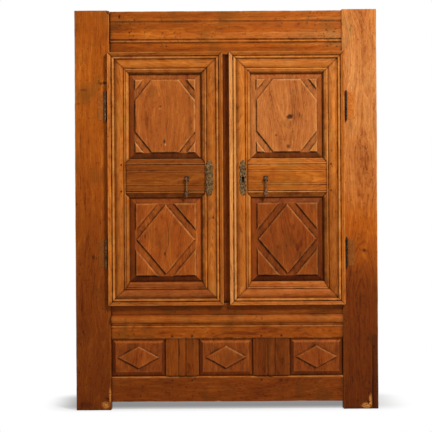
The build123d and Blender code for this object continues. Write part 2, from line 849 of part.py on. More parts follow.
# ---- hinges
def barrel(height, bottom, top):
    """Length of a left hinge's barrel, bored for the pin; bottom and top are from its middle."""
    centre = (hinge_x, hinge_ahead, height + (bottom + top) / 2)
    return (turned(barrel_radius, top - bottom, centre, "Z")
            - turned(pin_radius + pin_clearance, top - bottom + 1, centre, "Z"))


knuckle_half = barrel_length / 6
knuckles = [(-barrel_length / 2, -knuckle_half - knuckle_gap),
            (-knuckle_half, knuckle_half),
            (knuckle_half + knuckle_gap, barrel_length / 2)]


def hinge_leaf(height, on_door):
    """Leaf of a left hinge: a plate and the strips that wrap into its knuckles."""
    toward = 1 if on_door else -1
    back = rim_clearance if on_door else -leaf_thickness / 2
    near = hinge_x + toward * (barrel_radius + 1)
    far = hinge_x + toward * leaf_reach if on_door else hinge_x - leaf_reach + barrel_radius
    leaf = leaf_plate(height, min(near, far), max(near, far), back)
    bore = turned(pin_radius + pin_clearance, barrel_length + 2, (hinge_x, hinge_ahead, height), "Z")
    for bottom, top in [knuckles[1]] if on_door else [knuckles[0], knuckles[2]]:
        leaf += barrel(height, bottom, top)
        leaf += block((min(near, hinge_x), max(near, hinge_x)), (back, back + leaf_thickness),
                      (height + bottom, height + top)) - bore
    return single(leaf)


def hinge_pin(height):
    """Pin of a hinge, with a collar and a small finial at each end."""
    pin = turned(pin_radius, barrel_length, (hinge_x, hinge_ahead, height), "Z")
    for end in (-1, 1):
        collar_end = end * (barrel_length / 2 + 1)
        pin += turned(barrel_radius, 2, (hinge_x, hinge_ahead, height + collar_end), "Z")
        tip = Cone(barrel_radius - 1, 1.5, finial_height - 2)
        turn = Rot(0, 0, 0) if end > 0 else Rot(180, 0, 0)
        middle = height + end * (barrel_length / 2 + 1 + finial_height / 2)
        pin += Pos(hinge_x, -hinge_ahead, middle) * turn * tip
    return single(pin)


# ---- escutcheons and pulls
def escutcheon(with_keyhole):
    """Long wavy-edged plate over the meeting stile's ovolo, pierced on the door with the lock."""
    edge = [(0, 80), [(9, 75)], (11, 62), [(17, 48)], (12, 34), [(17, 17)], (13, 0)]
    half = edge + [[(p[0][0], -p[0][1])] if isinstance(p, list) else (p[0], -p[1])
                   for p in reversed(edge[:-1])]
    other = [[(-p[0][0], p[0][1])] if isinstance(p, list) else (-p[0], p[1])
             for p in reversed(half[1:-1])]
    outline = [[(plate_x + p[0][0], plate_height + p[0][1])] if isinstance(p, list)
               else (plate_x + p[0], plate_height + p[1]) for p in half + other]
    plate = slab(outline, plate_seat, plate_seat + plate_thickness)
    if with_keyhole:
        plate -= keyhole(0.0)
    return single(plate)


def keyhole(grow):
    """Round hole with a slot below it, through the plate and the stile behind."""
    ahead = (-door_frame_back - 1, rim_crest + 1)
    half = keyhole_slot_width / 2 + grow
    round_part = turned(keyhole_radius + grow, ahead[1] - ahead[0],
                        (plate_x, sum(ahead) / 2, plate_height), "Y")
    slot = block((plate_x - half, plate_x + half), ahead,
                 (plate_height - keyhole_drop - grow, plate_height))
    return round_part + slot


pull_x = door_right - pull_from_edge
pull_ahead = mid_rail_face + pull_standoff


def pull_shank():
    """Square shank that holds the pull's staple in the middle rail."""
    half = shank_size / 2
    return block((pull_x - half, pull_x + half), (mid_rail_face - shank_length, mid_rail_face),
                 (pull_height - half, pull_height + half))


def pull_staple():
    """Small plate with two ears and the pin that the pull hangs on."""
    face = mid_rail_face + staple_plate_thickness
    inner = pull_eye_thickness / 2 + ear_gap
    outer = inner + ear_thickness
    ear_radius = pull_eye_radius - 2.5
    staple = block((pull_x - outer - 3, pull_x + outer + 3), (mid_rail_face, face),
                   (pull_height - 13, pull_height + 13)) + pull_shank()
    for side in (-1, 1):
        near, far = sorted((pull_x + side * inner, pull_x + side * outer))
        staple += block((near, far), (face, pull_ahead), (pull_height - ear_radius, pull_height + ear_radius))
        staple += turned(ear_radius, ear_thickness, ((near + far) / 2, pull_ahead, pull_height), "X")
    staple += turned(pull_pin_radius, 2 * outer, (pull_x, pull_ahead, pull_height), "X")
    return single(staple)


def pull_drop():
    """Hanging pull: an eye, a slim shank and a pointed leaf at its end."""
    centre = (pull_x, pull_ahead, pull_height)
    tip = pull_height - pull_length
    outline = [
        (pull_x - 3, pull_height - 5), (pull_x - 3.5, tip + 43), (pull_x - pull_leaf_half_width, tip + 25),
        (pull_x - 1.5, tip), (pull_x + 1.5, tip), (pull_x + pull_leaf_half_width, tip + 25),
        (pull_x + 3.5, tip + 43), (pull_x + 3, pull_height - 5)]
    half = pull_thickness / 2
    drop = turned(pull_eye_radius, pull_eye_thickness, centre, "X")
    drop += slab(outline, pull_ahead - half, pull_ahead + half)
    drop -= turned(pull_pin_radius + pull_clearance, pull_eye_thickness + 1, centre, "X")
    return single(drop)


# ---- lock on the right door; it is placed on the right, so x is positive
lock_left = -door_right + frame_inset + 4
lock_span = (lock_left, lock_left + lock_width)
lock_heights = (plate_height - lock_height / 2, plate_height + lock_height / 2)


def lock_bolt_bar(left, right, grow=0.0):
    """Bar of the lock's bolt between two values of x, grown for the holes that it slides in."""
    middle = door_frame_back + lock_depth / 2
    half = lock_bolt_thickness / 2 + grow
    centre = plate_height + lock_bolt_raise
    tall = lock_bolt_height / 2 + grow
    return behind_block((left - grow, right + grow), (middle - half, middle + half),
                        (centre - tall, centre + tall))


def lock_case():
    """Iron box, open against the stile, with a slot for the bolt and a guide at the bolt's tail."""
    behind = (door_frame_back, door_frame_back + lock_depth)
    case = behind_block(lock_span, behind, lock_heights)
    case -= behind_block((lock_span[0] + lock_wall, lock_span[1] - lock_wall),
                         (behind[0], behind[1] - lock_wall),
                         (lock_heights[0] + lock_wall, lock_heights[1] - lock_wall))
    guide_x = lock_span[0] + lock_bolt_length - 2 * lock_wall
    centre = plate_height + lock_bolt_raise
    case += behind_block((guide_x - lock_wall, guide_x), (behind[0] + lock_wall, behind[1] - lock_wall),
                         (centre - lock_bolt_height, centre + lock_bolt_height))
    case -= lock_bolt_bar(lock_span[0] - 1, guide_x + 1, slide_clearance)
    return single(case)


def lock_bolt():
    """Bolt of the lock, drawn back level with the case's end."""
    return single(lock_bolt_bar(lock_span[0] + 0.5, lock_span[0] + lock_bolt_length))


# ---- bolt inside the left door
inner_bolt_x = door_right - inner_bolt_from_edge
inner_bolt_face = door_frame_back + 3
inner_bolt_top = header_bottom - 7
upper_guide_height = inner_bolt_top - 32
lower_guide_height = upper_guide_height - guide_spacing


def inner_bolt_bar(bottom, top, grow=0.0):
    """Bar of the left door's bolt between two heights, grown for the holes that it slides in."""
    half = inner_bolt_width / 2 + grow
    behind = (inner_bolt_face - grow, inner_bolt_face + inner_bolt_thickness + grow)
    return behind_block((inner_bolt_x - half, inner_bolt_x + half), behind, (bottom - grow, top + grow))


def inner_bolt():
    """Upright bolt with a knob, resting with its knob on the lower guide."""
    bolt = inner_bolt_bar(inner_bolt_top - inner_bolt_length, inner_bolt_top)
    back = inner_bolt_face + inner_bolt_thickness
    knob_height = lower_guide_height + guide_height / 2 + knob_radius + 0.3
    bolt += turned(knob_radius, knob_length, (inner_bolt_x, -back - knob_length / 2, knob_height), "Y")
    return single(bolt)


def bolt_guides():
    """Two iron blocks on the stile's back that the upright bolt slides through."""
    guides = []
    half = inner_bolt_width / 2 + guide_wall + 5
    back = inner_bolt_face + inner_bolt_thickness + guide_wall
    for height in (lower_guide_height, upper_guide_height):
        span = (height - guide_height / 2, height + guide_height / 2)
        guide = behind_block((inner_bolt_x - half, inner_bolt_x + half), (door_frame_back, back), span)
        guides.append(single(guide - inner_bolt_bar(span[0] - 1, span[1] + 1, slide_clearance)))
    return guides


# ---- every node and the solids in it
def frame_nodes():
    """Nodes of the case, which stays still."""
    post = front_post()
    back_post = rear_post()
    rails = side_rails()
    panels = side_panels()
    nodes = {
        "front_post_left": [post.mirror(Plane.YZ)],
        "front_post_right": [post],
        "header_rail": [header_rail()],
        "sill_rail": [sill_rail()],
        "base_rail": [base_rail()],
        "centre_post": [centre_post()],
        "rear_post_left": [back_post.mirror(Plane.YZ)],
        "rear_post_right": [back_post],
        "side_rails_left": [rail.mirror(Plane.YZ) for rail in rails],
        "side_rails_right": rails,
        "side_panels_left": [panel.mirror(Plane.YZ) for panel in panels],
        "side_panels_right": panels,
        "back_rails": back_rails(),
        "back_boards": back_boards(),
        "top_boards": top_boards(),
        "floor_boards": floor_boards(),
        "shelf_cleats": left_and_right(cleats()),
        "muntin_pegs": [single(peg) for peg in muntin_pegs()],
        "board_nails": [single(driven) for driven in back_nails() + top_nails()]}
    for side, span in muntin_spans.items():
        nodes["base_muntin_" + side] = [base_muntin(span)]
    for side, span in base_panel_spans.items():
        nodes["base_panel_" + side] = [base_panel(span)]
    for name, height in shelf_heights.items():
        nodes["shelf_" + name] = [shelf(height)]
    heights = (upper_hinge_height, lower_hinge_height)
    nodes["hinge_post_leaves"] = left_and_right([hinge_leaf(height, False) for height in heights])
    nodes["hinge_pins"] = left_and_right([hinge_pin(height) for height in heights])
    return nodes


def left_door_nodes():
    """Nodes of the left door, by the names that both doors' nodes end in."""
    heights = (upper_hinge_height, lower_hinge_height)
    return {
        "hinge_stile": [stile(False)],
        "meeting_stile": [stile(True)],
        "top_rail": [door_rail(door_rail_spans[2], False)],
        "middle_rail": [mid_rail()],
        "bottom_rail": [door_rail(door_rail_spans[0], True)],
        "upper_panel": [upper_panel()],
        "lower_panel": [lower_panel()],
        "rim_moulding": rim_strips(),
        "door_pegs": [single(peg) for peg in door_pegs()],
        "hinge_leaves": [hinge_leaf(height, True) for height in heights],
        "escutcheon": [escutcheon(False)],
        "pull_staple": [pull_staple()],
        "pull_drop": [pull_drop()]}


def all_nodes():
    """Every node of the cupboard."""
    nodes = frame_nodes()
    for name, solids in left_door_nodes().items():
        nodes["left_" + name] = solids
        nodes["right_" + name] = [solid.mirror(Plane.YZ) for solid in solids]
    key_room = single(keyhole(1.5)).mirror(Plane.YZ)
    nodes["right_meeting_stile"] = [single(nodes["right_meeting_stile"][0] - key_room)]
    nodes["right_escutcheon"] = [escutcheon(True).mirror(Plane.YZ)]
    nodes["lock_case"] = [lock_case()]
    nodes["lock_bolt"] = [lock_bolt()]
    nodes["left_inner_bolt"] = [inner_bolt()]
    nodes["left_bolt_guides"] = bolt_guides()
    return nodes


nodes = all_nodes()
boxes = [solid.bounding_box() for solids in nodes.values() for solid in solids]
middle_y = (min(box.min.Y for box in boxes) + max(box.max.Y for box in boxes)) / 2
os.makedirs("parts", exist_ok=True)
for name, solids in nodes.items():
    placed = [solid.moved(Pos(0, -middle_y, 0)) for solid in solids]
    export_step(placed[0] if len(placed) == 1 else Compound(children=placed), f"parts/{name}.step")
print("face plane at y =", round(-middle_y, 3), "mm")
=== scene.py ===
import math

import bpy
import numpy as np
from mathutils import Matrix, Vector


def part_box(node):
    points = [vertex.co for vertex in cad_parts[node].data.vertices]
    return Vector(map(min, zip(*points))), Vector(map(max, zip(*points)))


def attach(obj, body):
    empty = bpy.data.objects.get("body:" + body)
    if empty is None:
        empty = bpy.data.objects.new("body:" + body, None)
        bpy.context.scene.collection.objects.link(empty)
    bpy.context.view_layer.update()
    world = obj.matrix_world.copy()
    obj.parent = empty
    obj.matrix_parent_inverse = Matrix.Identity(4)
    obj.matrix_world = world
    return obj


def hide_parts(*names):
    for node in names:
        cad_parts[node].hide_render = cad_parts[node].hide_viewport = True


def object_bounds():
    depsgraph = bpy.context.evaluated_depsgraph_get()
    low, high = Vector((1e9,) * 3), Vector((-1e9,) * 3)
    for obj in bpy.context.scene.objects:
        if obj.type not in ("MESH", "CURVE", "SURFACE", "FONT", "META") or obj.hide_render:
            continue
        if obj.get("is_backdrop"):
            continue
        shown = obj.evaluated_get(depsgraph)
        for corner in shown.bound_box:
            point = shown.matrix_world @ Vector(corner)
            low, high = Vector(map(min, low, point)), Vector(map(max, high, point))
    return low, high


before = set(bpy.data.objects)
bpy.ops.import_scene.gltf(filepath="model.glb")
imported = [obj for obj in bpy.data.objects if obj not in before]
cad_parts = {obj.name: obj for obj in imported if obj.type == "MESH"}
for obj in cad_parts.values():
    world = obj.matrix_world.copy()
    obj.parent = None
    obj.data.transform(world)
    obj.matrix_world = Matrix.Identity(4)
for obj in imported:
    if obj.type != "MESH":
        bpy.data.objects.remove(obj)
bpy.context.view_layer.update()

# Sizes are in millimetres: x to the right, "ahead" in front of the face frame's plane (behind it is
# below zero) and z up. They turn into the frame's metres only when a mesh is made.
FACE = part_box("front_post_left")[0].y
X, AHEAD, UP = np.eye(3)

# ---- the carcass and the doors, as they are joined
TALL = 1800
POST_WIDE = 158
THICK = 45
HEADER_TOP = 1794.0
SILL = (321.0, 481.0)
BASE_RAIL = (36.5, 151.5)
DOOR = {"outer": -532.0, "inner": -14.0, "bottom": 471.0, "top": 1609.0}
SIGHT = {"left": -436.0, "right": -110.0, "bottom": 577.0, "top": 1513.0}
MIDDLE = (957.0, 1130.0)
MUNTINS = {"left": (-277.0, -129.0), "right": (117.0, 281.0)}
BASE_PANELS = {"left": (-522.0, -277.0), "middle": (-129.0, 117.0), "right": (281.0, 522.0)}

# ---- wear and soil of a carried section; the sizes of noises are across, out and along it
BITE_SIZE = (26, 26, 44)   # how evenly an arris is worn
NICK_SIZE = (15, 15, 24)   # a chip is where this noise peaks
WAVE_SIZE = (90, 90, 260)  # slow unevenness of the planed faces
SOIL_SIZE = (30, 30, 70)   # patches of dirt
NICK_DEPTH = 1.7
BAND_BLUR = 0.8            # half the width over which a band begins or ends
HIDDEN_BELOW = -6          # the face frame's sections are cut coarsely from this height down
OUT_OF_SIGHT = -12         # bands and the split stay above this height
LOG_PITH = 0.5             # where a log's middle lies between two whole metres
# Cap of a carried section's dirt mark, which holds painted shade as well as dirt.
MAX_DIRT_AND_SHADE = 1.3

# ---- carved panels
GROOVE_LAP = 4.0           # how far a panel goes on beyond the edge that shows
FIGURE_LIFT = 8.0          # how high a figure stands over the top of the sloping margin
FIGURE_SLOPE = 4.0         # half the width of a figure's slope
TOP_EASE = 0.45            # small step up from the margin to the field, four times that without figures
# Cap of a panel's dirt mark, which holds painted shade as well as dirt.
MAX_PANEL_DIRT_AND_SHADE = 1.4


# ---------------------------------------------------------------- smooth noise in plain arrays
def lattice(cell, seed):
    """A fixed number from 0 to 1 for each whole-number cell: the fraction of a large sine."""
    mixed = cell[..., 0] * 12.9898 + cell[..., 1] * 78.233 + cell[..., 2] * 37.719 + seed * 19.19
    return np.mod(np.sin(mixed) * 43758.5453, 1.0)


def drift(x, y, z, size, seed):
    """Smooth noise from -1 to 1: the eight corners of each cell of that size, eased together."""
    spot = np.stack(np.broadcast_arrays(x, y, z), axis=-1) / np.asarray(size, float)
    cell = np.floor(spot)
    part = spot - cell
    part = part * part * (3 - 2 * part)
    total = 0.0
    for corner in range(8):
        step = np.array([corner & 1, corner >> 1 & 1, corner >> 2 & 1])
        share = np.prod(np.where(step, part, 1 - part), axis=-1)
        total = total + share * lattice(cell + step, seed)
    return total * 2 - 1


def rough(x, y, z, size, seed):
    """Noise with three halving scales added up."""
    size = np.asarray(size, float)
    return (drift(x, y, z, size, seed) + 0.5 * drift(x, y, z, size / 2, seed + 7)
            + 0.25 * drift(x, y, z, size / 4, seed + 13)) / 1.75


def ease(low, high, value):
    """0 below low, 1 above high, and an S-curve between them."""
    share = np.clip((value - low) / (high - low), 0, 1)
    return share * share * (3 - 2 * share)


# ---------------------------------------------------------------- meshes
def turned_outward(spots, faces):
    """Faces of a closed surface, all turned round if its volume, the sum of a . (b x c), is negative."""
    volume = 0.0
    for part in faces:
        for k in range(1, part.shape[1] - 1):
            a, b, c = (spots[part[:, i]] for i in (0, k, k + 1))
            volume += np.einsum("ij,ij->i", a, np.cross(b, c)).sum()
    return faces if volume > 0 else [part[:, ::-1] for part in faces]


def make_piece(name, spots, faces, body, node, finish, marks):
    """Mesh object from points in millimetres (x, ahead, z); marks are values kept at its points.

    Each point becomes (x, face plane - ahead, z) in metres. faces is a list of arrays, one for each
    number of corners, and the faces of a closed surface end up pointing outwards.
    """
    placed = np.stack([spots[:, 0], FACE * 1000 - spots[:, 1], spots[:, 2]], axis=1) / 1000
    faces = turned_outward(placed, faces)
    mesh = bpy.data.meshes.new(name)
    loops = np.concatenate([part.ravel() for part in faces])
    sizes = np.concatenate([np.full(len(part), part.shape[1]) for part in faces])
    mesh.vertices.add(len(placed))
    mesh.vertices.foreach_set("co", placed.astype(np.float32).ravel())
    mesh.loops.add(len(loops))
    mesh.loops.foreach_set("vertex_index", loops.astype(np.int32))
    mesh.polygons.add(len(sizes))
    mesh.polygons.foreach_set("loop_start", (np.cumsum(sizes) - sizes).astype(np.int32))
    mesh.update(calc_edges=True)
    mesh.validate()
    mesh.polygons.foreach_set("use_smooth", np.ones(len(mesh.polygons), bool))
    for label, values in marks.items():
        kind, part = ("FLOAT_VECTOR", "vector") if np.ndim(values) == 2 else ("FLOAT", "value")
        kept = mesh.attributes.new(label, kind, "POINT")
        kept.data.foreach_set(part, np.asarray(values, np.float32).ravel())
    piece = bpy.data.objects.new(name, mesh)
    bpy.context.scene.collection.objects.link(piece)
    piece.data.materials.append(finish)
    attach(piece, body)
    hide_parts(node)


def tube_faces(rows, columns, ends=True):
    """Quads of a closed ring of columns carried through rows, and triangles that close both ends."""
    row, column = np.meshgrid(np.arange(rows - 1), np.arange(columns), indexing="ij")
    beside = (column + 1) % columns
    quads = np.stack([row * columns + column, row * columns + beside,
                      (row + 1) * columns + beside, (row + 1) * columns + column], -1).reshape(-1, 4)
    if not ends:
        return [quads]
    ring = np.arange(columns)
    first = np.stack([np.full(columns, rows * columns), (ring + 1) % columns, ring], -1)
    last = np.stack([np.full(columns, rows * columns + 1), (rows - 1) * columns + ring,
                     (rows - 1) * columns + (ring + 1) % columns], -1)
    return [quads, np.concatenate([first, last])]


def sheet_faces(rows, columns):
    """Quads of a plain grid of points."""
    row, column = np.meshgrid(np.arange(rows - 1), np.arange(columns - 1), indexing="ij")
    at = row * columns + column
    return np.stack([at, at + 1, at + columns + 1, at + columns], -1).reshape(-1, 4)


# ---------------------------------------------------------------- sections of boards and mouldings
def arc_points(start, middle, end, step):
    """Evenly spaced points of the circle through three points, from the first up to the last."""
    to_end, to_middle = end - start, middle - start
    cross = 2 * (to_middle[0] * to_end[1] - to_middle[1] * to_end[0])
    centre = start + np.array([to_end[1] * to_middle @ to_middle - to_middle[1] * to_end @ to_end,
                               to_middle[0] * to_end @ to_end - to_end[0] * to_middle @ to_middle]) / cross
    radius = np.linalg.norm(start - centre)
    turn = [math.atan2(p[1] - centre[1], p[0] - centre[0]) for p in (start, middle, end)]
    way = np.sign(np.sin(turn[1] - turn[0]) or 1.0)
    sweep = (way * (turn[2] - turn[0])) % (2 * math.pi)
    count = max(3, int(round(radius * sweep / step)))
    angle = turn[0] + way * sweep * np.arange(count) / count
    return centre + radius * np.stack([np.cos(angle), np.sin(angle)], -1)


def sampled(points, step, coarse_below=None, coarse_step=9.0):
    """Closed outline as evenly spaced points. A point in brackets is the middle of an arc.

    Straight runs are divided into steps; an arc is the circle through its three points. Runs that
    lie wholly at or below the height coarse_below are divided more coarsely.
    """
    dots = []
    start, middle = np.array(points[0], float), None
    for point in points[1:] + points[:1]:
        if isinstance(point, list):
            middle = np.array(point[0], float)
            continue
        end = np.array(point, float)
        if middle is None:
            hidden = coarse_below is not None and max(start[1], end[1]) <= coarse_below
            count = max(1, int(round(np.linalg.norm(end - start) / (coarse_step if hidden else step))))
            dots.append(start + (end - start) * (np.arange(count)[:, None] / count))
        else:
            dots.append(arc_points(start, middle, end, step))
        start, middle = end, None
    return np.concatenate(dots)


def blurred(dots, reach):
    """Each point of a closed outline, averaged with its neighbours by a bell curve of that reach."""
    gaps = np.linalg.norm(np.roll(dots, -1, 0) - dots, axis=1)
    place, whole = np.cumsum(gaps) - gaps, gaps.sum()
    apart = np.abs(place[:, None] - place[None, :])
    apart = np.minimum(apart, whole - apart)
    spans = np.linalg.norm(np.roll(dots, -1, 0) - np.roll(dots, 1, 0), axis=1)
    weight = np.exp(-0.5 * (apart / reach) ** 2) * spans[None, :]
    return weight @ dots / weight.sum(1)[:, None]


def blurred_line(values, place, reach):
    """Values along a line, averaged with their neighbours by a bell curve."""
    weight = np.exp(-0.5 * ((place[:, None] - place[None, :]) / reach) ** 2)
    return weight @ values / weight.sum(1)


def signed_area(dots):
    """Twice the area of a closed outline, above zero where it runs counterclockwise."""
    return np.sum(dots[:, 0] * np.roll(dots[:, 1], -1) - np.roll(dots[:, 0], -1) * dots[:, 1])


def outward(dots):
    """Unit vectors that point out of a closed outline, at each of its points."""
    run = np.roll(dots, -1, 0) - np.roll(dots, 1, 0)
    side = np.stack([run[:, 1], -run[:, 0]], -1) / np.linalg.norm(run, axis=1)[:, None]
    return side if signed_area(dots) > 0 else -side


def section_marks(dots):
    """Edge wear and dirt round a section: how far a point stands out of, or sinks below, its blur."""
    near, far = (np.sum((dots - blurred(dots, reach)) * outward(dots), axis=1) for reach in (3.4, 9.0))
    wear_and_highlight = np.clip(near / 0.75, 0, 1) * 0.80 + np.clip(far / 3.2, 0, 1) * 0.20
    dirt_and_shade = np.clip(-near / 0.9, 0, 1) * 0.6 + np.clip(-far / 3.0, 0, 1) * 0.22
    return np.clip(wear_and_highlight, 0, 1), np.clip(dirt_and_shade, 0, 1)


def oblong(width, depth, step, coarse=None, ease_by=1.3):
    """Section of a plain board: a rectangle from (0, -depth) to (width, 0), its corners eased."""
    return blurred(sampled([(0, -depth), (0, 0), (width, 0), (width, -depth)], step,
                           coarse, 12.0), ease_by)


# ---------------------------------------------------------------- marks on a surface
def seed_place(seed):
    """Place of a board in its own log, in metres: the log's middle is midway between whole numbers.

    Whole metres part the pieces, so that no two share their grain; the rest puts the board's
    middle 30 to 85 mm in front of, and up to 45 mm beside, the middle of the log.
    """
    chance = [float(lattice(np.array([seed, a, 2.0]), a)) for a in (1.0, 3.0, 5.0, 7.0, 9.0)]
    return np.array([LOG_PITH + math.floor(chance[0] * 30) + (chance[3] - 0.5) * 0.09,
                     LOG_PITH + math.floor(chance[1] * 30) + 0.030 + 0.055 * chance[4], chance[2] * 40.0])


def spread(low, high, step, fine, least_gap=0.35):
    """Shares from 0 to 1 of a length cut into steps, with closer cuts inside each fine span."""
    count = max(2, int(round((high - low) / step)))
    cuts = [np.arange(count + 1) / count]
    for start, end, close in fine:
        cuts.append((np.arange(start, end, close) - low) / (high - low))
    cuts = np.sort(np.concatenate(cuts))
    cuts = cuts[(cuts >= 0) & (cuts <= 1)]
    cuts = cuts[np.concatenate([[True], np.diff(cuts) * (high - low) > least_gap])]
    cuts[-1] = 1.0
    return cuts


def patches(spots, places):
    """Stain and depth at points, from placed marks (x, z, half width, half height, stain, depth).

    Each mark is a round bump, exp(-r^4), of the distance r scaled by its two half sizes.
    """
    stain, sunk = np.zeros(len(spots)), np.zeros(len(spots))
    for x, z, wide, tall, dark, deep in places:
        near = np.flatnonzero((np.abs(spots[:, 0] - x) < wide * 2) & (np.abs(spots[:, 2] - z) < tall * 2))
        a, b = spots[near, 0], spots[near, 2]
        wobble = 1 + 0.22 * drift(a, b, 0 * a, (wide * 1.3, tall * 1.3, 1), x + z)
        share = np.exp(-(np.hypot((a - x) / wide, (b - z) / tall) * wobble) ** 4)
        stain[near] += dark * share
        sunk[near] += deep * share
    return np.clip(stain, -1, 1), sunk


def flecks(x, z, half_wide, half_tall, count, size, dark, seed):
    """A cluster of small dark marks, scattered evenly over a patch, to add to a piece's places."""
    cell = np.stack(np.meshgrid(np.arange(5.0), np.arange(float(count))), -1)[..., [0, 1, 0]]
    return [(x + (a * 2 - 1) * half_wide, z + (b * 2 - 1) * half_tall, size * (0.4 + 0.8 * c),
             size * (0.4 + 1.2 * d), dark * (0.4 + 0.6 * e), 0.25) for a, b, c, d, e in lattice(cell, seed)]


# ---------------------------------------------------------------- a section carried along a line
def carried(name, section, origin, across, out, along, ends, body, node, slot, finish, seed, tone,
            step, loss, fine=(), rounded=(0.0, 0.0), chips=1.0, wave=0.3, reshape=None, places=(),
            mirrored=False, joint_dirt=(5.0, 5.0), end_wear=0.0, bands=(), stained=None):
    """Piece of wood: a closed section carried straight along a line, with worn arrises.

    section is an array of (u, h); a point lies at origin + u across + h out + t along. ends(u, h)
    gives each section point's first and last t, so a mitre is a slanted end. Points move inwards
    along the section's normal by loss x wear x noise, by chips where a noise peaks on an arris, and
    by a slow wave. Near a rounded end the section draws in by a quarter circle. reshape(u, h, t)
    moves points once more, for sockets and notches. fine is a list of (low t, high t, step) for
    closer cuts, and joint_dirt is how far dirt reaches from each end. tone darkens the finish below
    0 and pales it above 0: one number, or a list of (t, number). On the front it is partly painted
    shade, darker towards the floor, and partly painted light, paler towards the upper right. bands
    are strips of the section, (low u, high u, dirt and painted shade, wear and painted highlight,
    tone, partly painted light and shade), that are added; stained(u, t) is a stain that is added,
    and places are marks as patches takes them.
    """
    origin = np.asarray(origin, float)
    u, h = section[:, 0], section[:, 1]
    normal = outward(section)
    wear_and_highlight, dirt_and_shade = section_marks(section)
    lighter = 0 * u
    # Bands paint strips of the section: dark grooves and slopes, partly grime and partly painted shade, and
    # pale arrises as painted highlights; their tone is partly painted light and shade.
    for low, high, soot_and_shade, rubbing_and_highlight, more in bands:
        inside = ease(low - BAND_BLUR, low + BAND_BLUR, u) * (1 - ease(high - BAND_BLUR, high + BAND_BLUR, u))
        inside = inside * (h > OUT_OF_SIGHT)
        dirt_and_shade, wear_and_highlight, lighter = dirt_and_shade + soot_and_shade * inside, wear_and_highlight + rubbing_and_highlight * inside, lighter + more * inside
    first, last = (np.broadcast_to(np.asarray(v, float), u.shape) for v in ends(u, h))
    low, high = first.min(), last.max()
    share = [spread(low, high, step, fine)]
    for end, radius in enumerate(rounded):
        share.append(np.abs(end - np.array([0.12, 0.35, 0.65, 1.0]) * radius / (high - low)))
    share = np.unique(np.round(np.concatenate(share), 7))
    t = first[None, :] + (last - first)[None, :] * share[:, None]
    gaps = (t - first, last - t)
    uu, hh, worn = (np.broadcast_to(v, t.shape) for v in (u, h, wear_and_highlight))
    bite = rough(uu, hh * 1.5, t, BITE_SIZE, seed)
    nick = ease(0.42, 0.62, rough(uu, hh, t, NICK_SIZE, seed + 31)) * ease(0.25, 0.6, worn)
    sink = loss * worn * (0.75 + 0.9 * bite) + chips * NICK_DEPTH * nick
    sink = sink - wave * rough(uu, hh, t, WAVE_SIZE, seed + 57)
    for radius, gap in zip(rounded, gaps):
        if radius:
            left = np.clip(1 - gap / radius, 0, 1)
            sink = sink + radius * (1 - np.sqrt(1 - left ** 2)) * (1 + 0.25 * bite)
            worn = np.maximum(worn, ease(0.0, 0.7, left) * 0.75)
    uu, hh = uu - normal[None, :, 0] * sink, hh - normal[None, :, 1] * sink
    if reshape is not None:
        uu, hh = reshape(uu, hh, t)
    spots = (origin + uu[..., None] * across + hh[..., None] * out + t[..., None] * along).reshape(-1, 3)
    middle = (u.mean(), h.mean())
    tips = [origin + middle[0] * across + middle[1] * out + v * along for v in (first.mean(), last.mean())]
    soil_and_shade = np.broadcast_to(dirt_and_shade, t.shape) * (0.8 + 0.5 * rough(uu, hh, t, SOIL_SIZE, seed + 5))
    for reach, gap in zip(joint_dirt, gaps):
        if reach:
            soil_and_shade = soil_and_shade + 0.75 * np.exp(-np.clip(gap, 0, None) / reach)
    stain, sunk = patches(spots, places)
    spots = spots - sunk[:, None] * out
    worn = np.clip(worn * (0.72 + 0.8 * bite) + 0.5 * nick, 0, 1)
    grain = np.stack([uu - middle[0], hh, t], -1).reshape(-1, 3)
    grain = np.concatenate([grain, [[0, middle[1], first.mean()], [0, middle[1], last.mean()]]])
    spots = np.concatenate([spots, tips])
    if mirrored:
        spots[:, 0] *= -1
    if np.ndim(tone):
        tone = np.interp(t, *np.transpose(tone))
    tone = (tone + np.broadcast_to(lighter, t.shape)).ravel()
    if stained is not None:
        stain = np.clip(stain + stained(uu, t).ravel(), -1, 1)
    at_tips = np.ones(2)
    # The wear, dirt and tone marks hold painted highlights, painted shade and painted light beside real wear,
    # dirt and tone.
    marks = {"grain": grain / 1000 + seed_place(seed),
             "wear_and_highlight": np.concatenate([worn.ravel(), at_tips * end_wear]),
             "dirt_and_shade": np.clip(np.concatenate([soil_and_shade.ravel(), at_tips * 0]), 0, MAX_DIRT_AND_SHADE),
             "stain": np.concatenate([stain, at_tips * 0]),
             "tone": np.concatenate([tone, tone[[0, -1]]])}
    make_piece(name, spots, tube_faces(len(share), len(u)), body, node, finish, marks)


# ---------------------------------------------------------------- carved panels
def depth_inside(x, z, corners):
    """Distance inside a convex outline: the least of the distances to its edges' lines."""
    corners = np.asarray(corners, float)
    run = np.roll(corners, -1, 0) - corners
    way = np.sign(signed_area(corners))
    side = np.stack([-run[:, 1], run[:, 0]], -1) * way / np.linalg.norm(run, axis=1)[:, None]
    least = np.full(x.shape, np.inf)
    for corner, inward in zip(corners, side):
        least = np.minimum(least, (x - corner[0]) * inward[0] + (z - corner[1]) * inward[1])
    return least


def rhombus(x, z, wide, tall):
    """Corners of a rhombus about a point, from its two half sizes."""
    return [(x - wide, z), (x, z + tall), (x + wide, z), (x, z - tall)]


def off_path(x, z, path):
    """Distance from a path of straight runs: the least of the distances to its runs."""
    path = np.asarray(path, float)
    least = np.full(x.shape, np.inf)
    for a, b in zip(path[:-1], path[1:]):
        run = b - a
        share = np.clip(((x - a[0]) * run[0] + (z - a[1]) * run[1]) / (run @ run), 0, 1)
        least = np.minimum(least, np.hypot(x - a[0] - share * run[0], z - a[1] - share * run[1]))
    return least


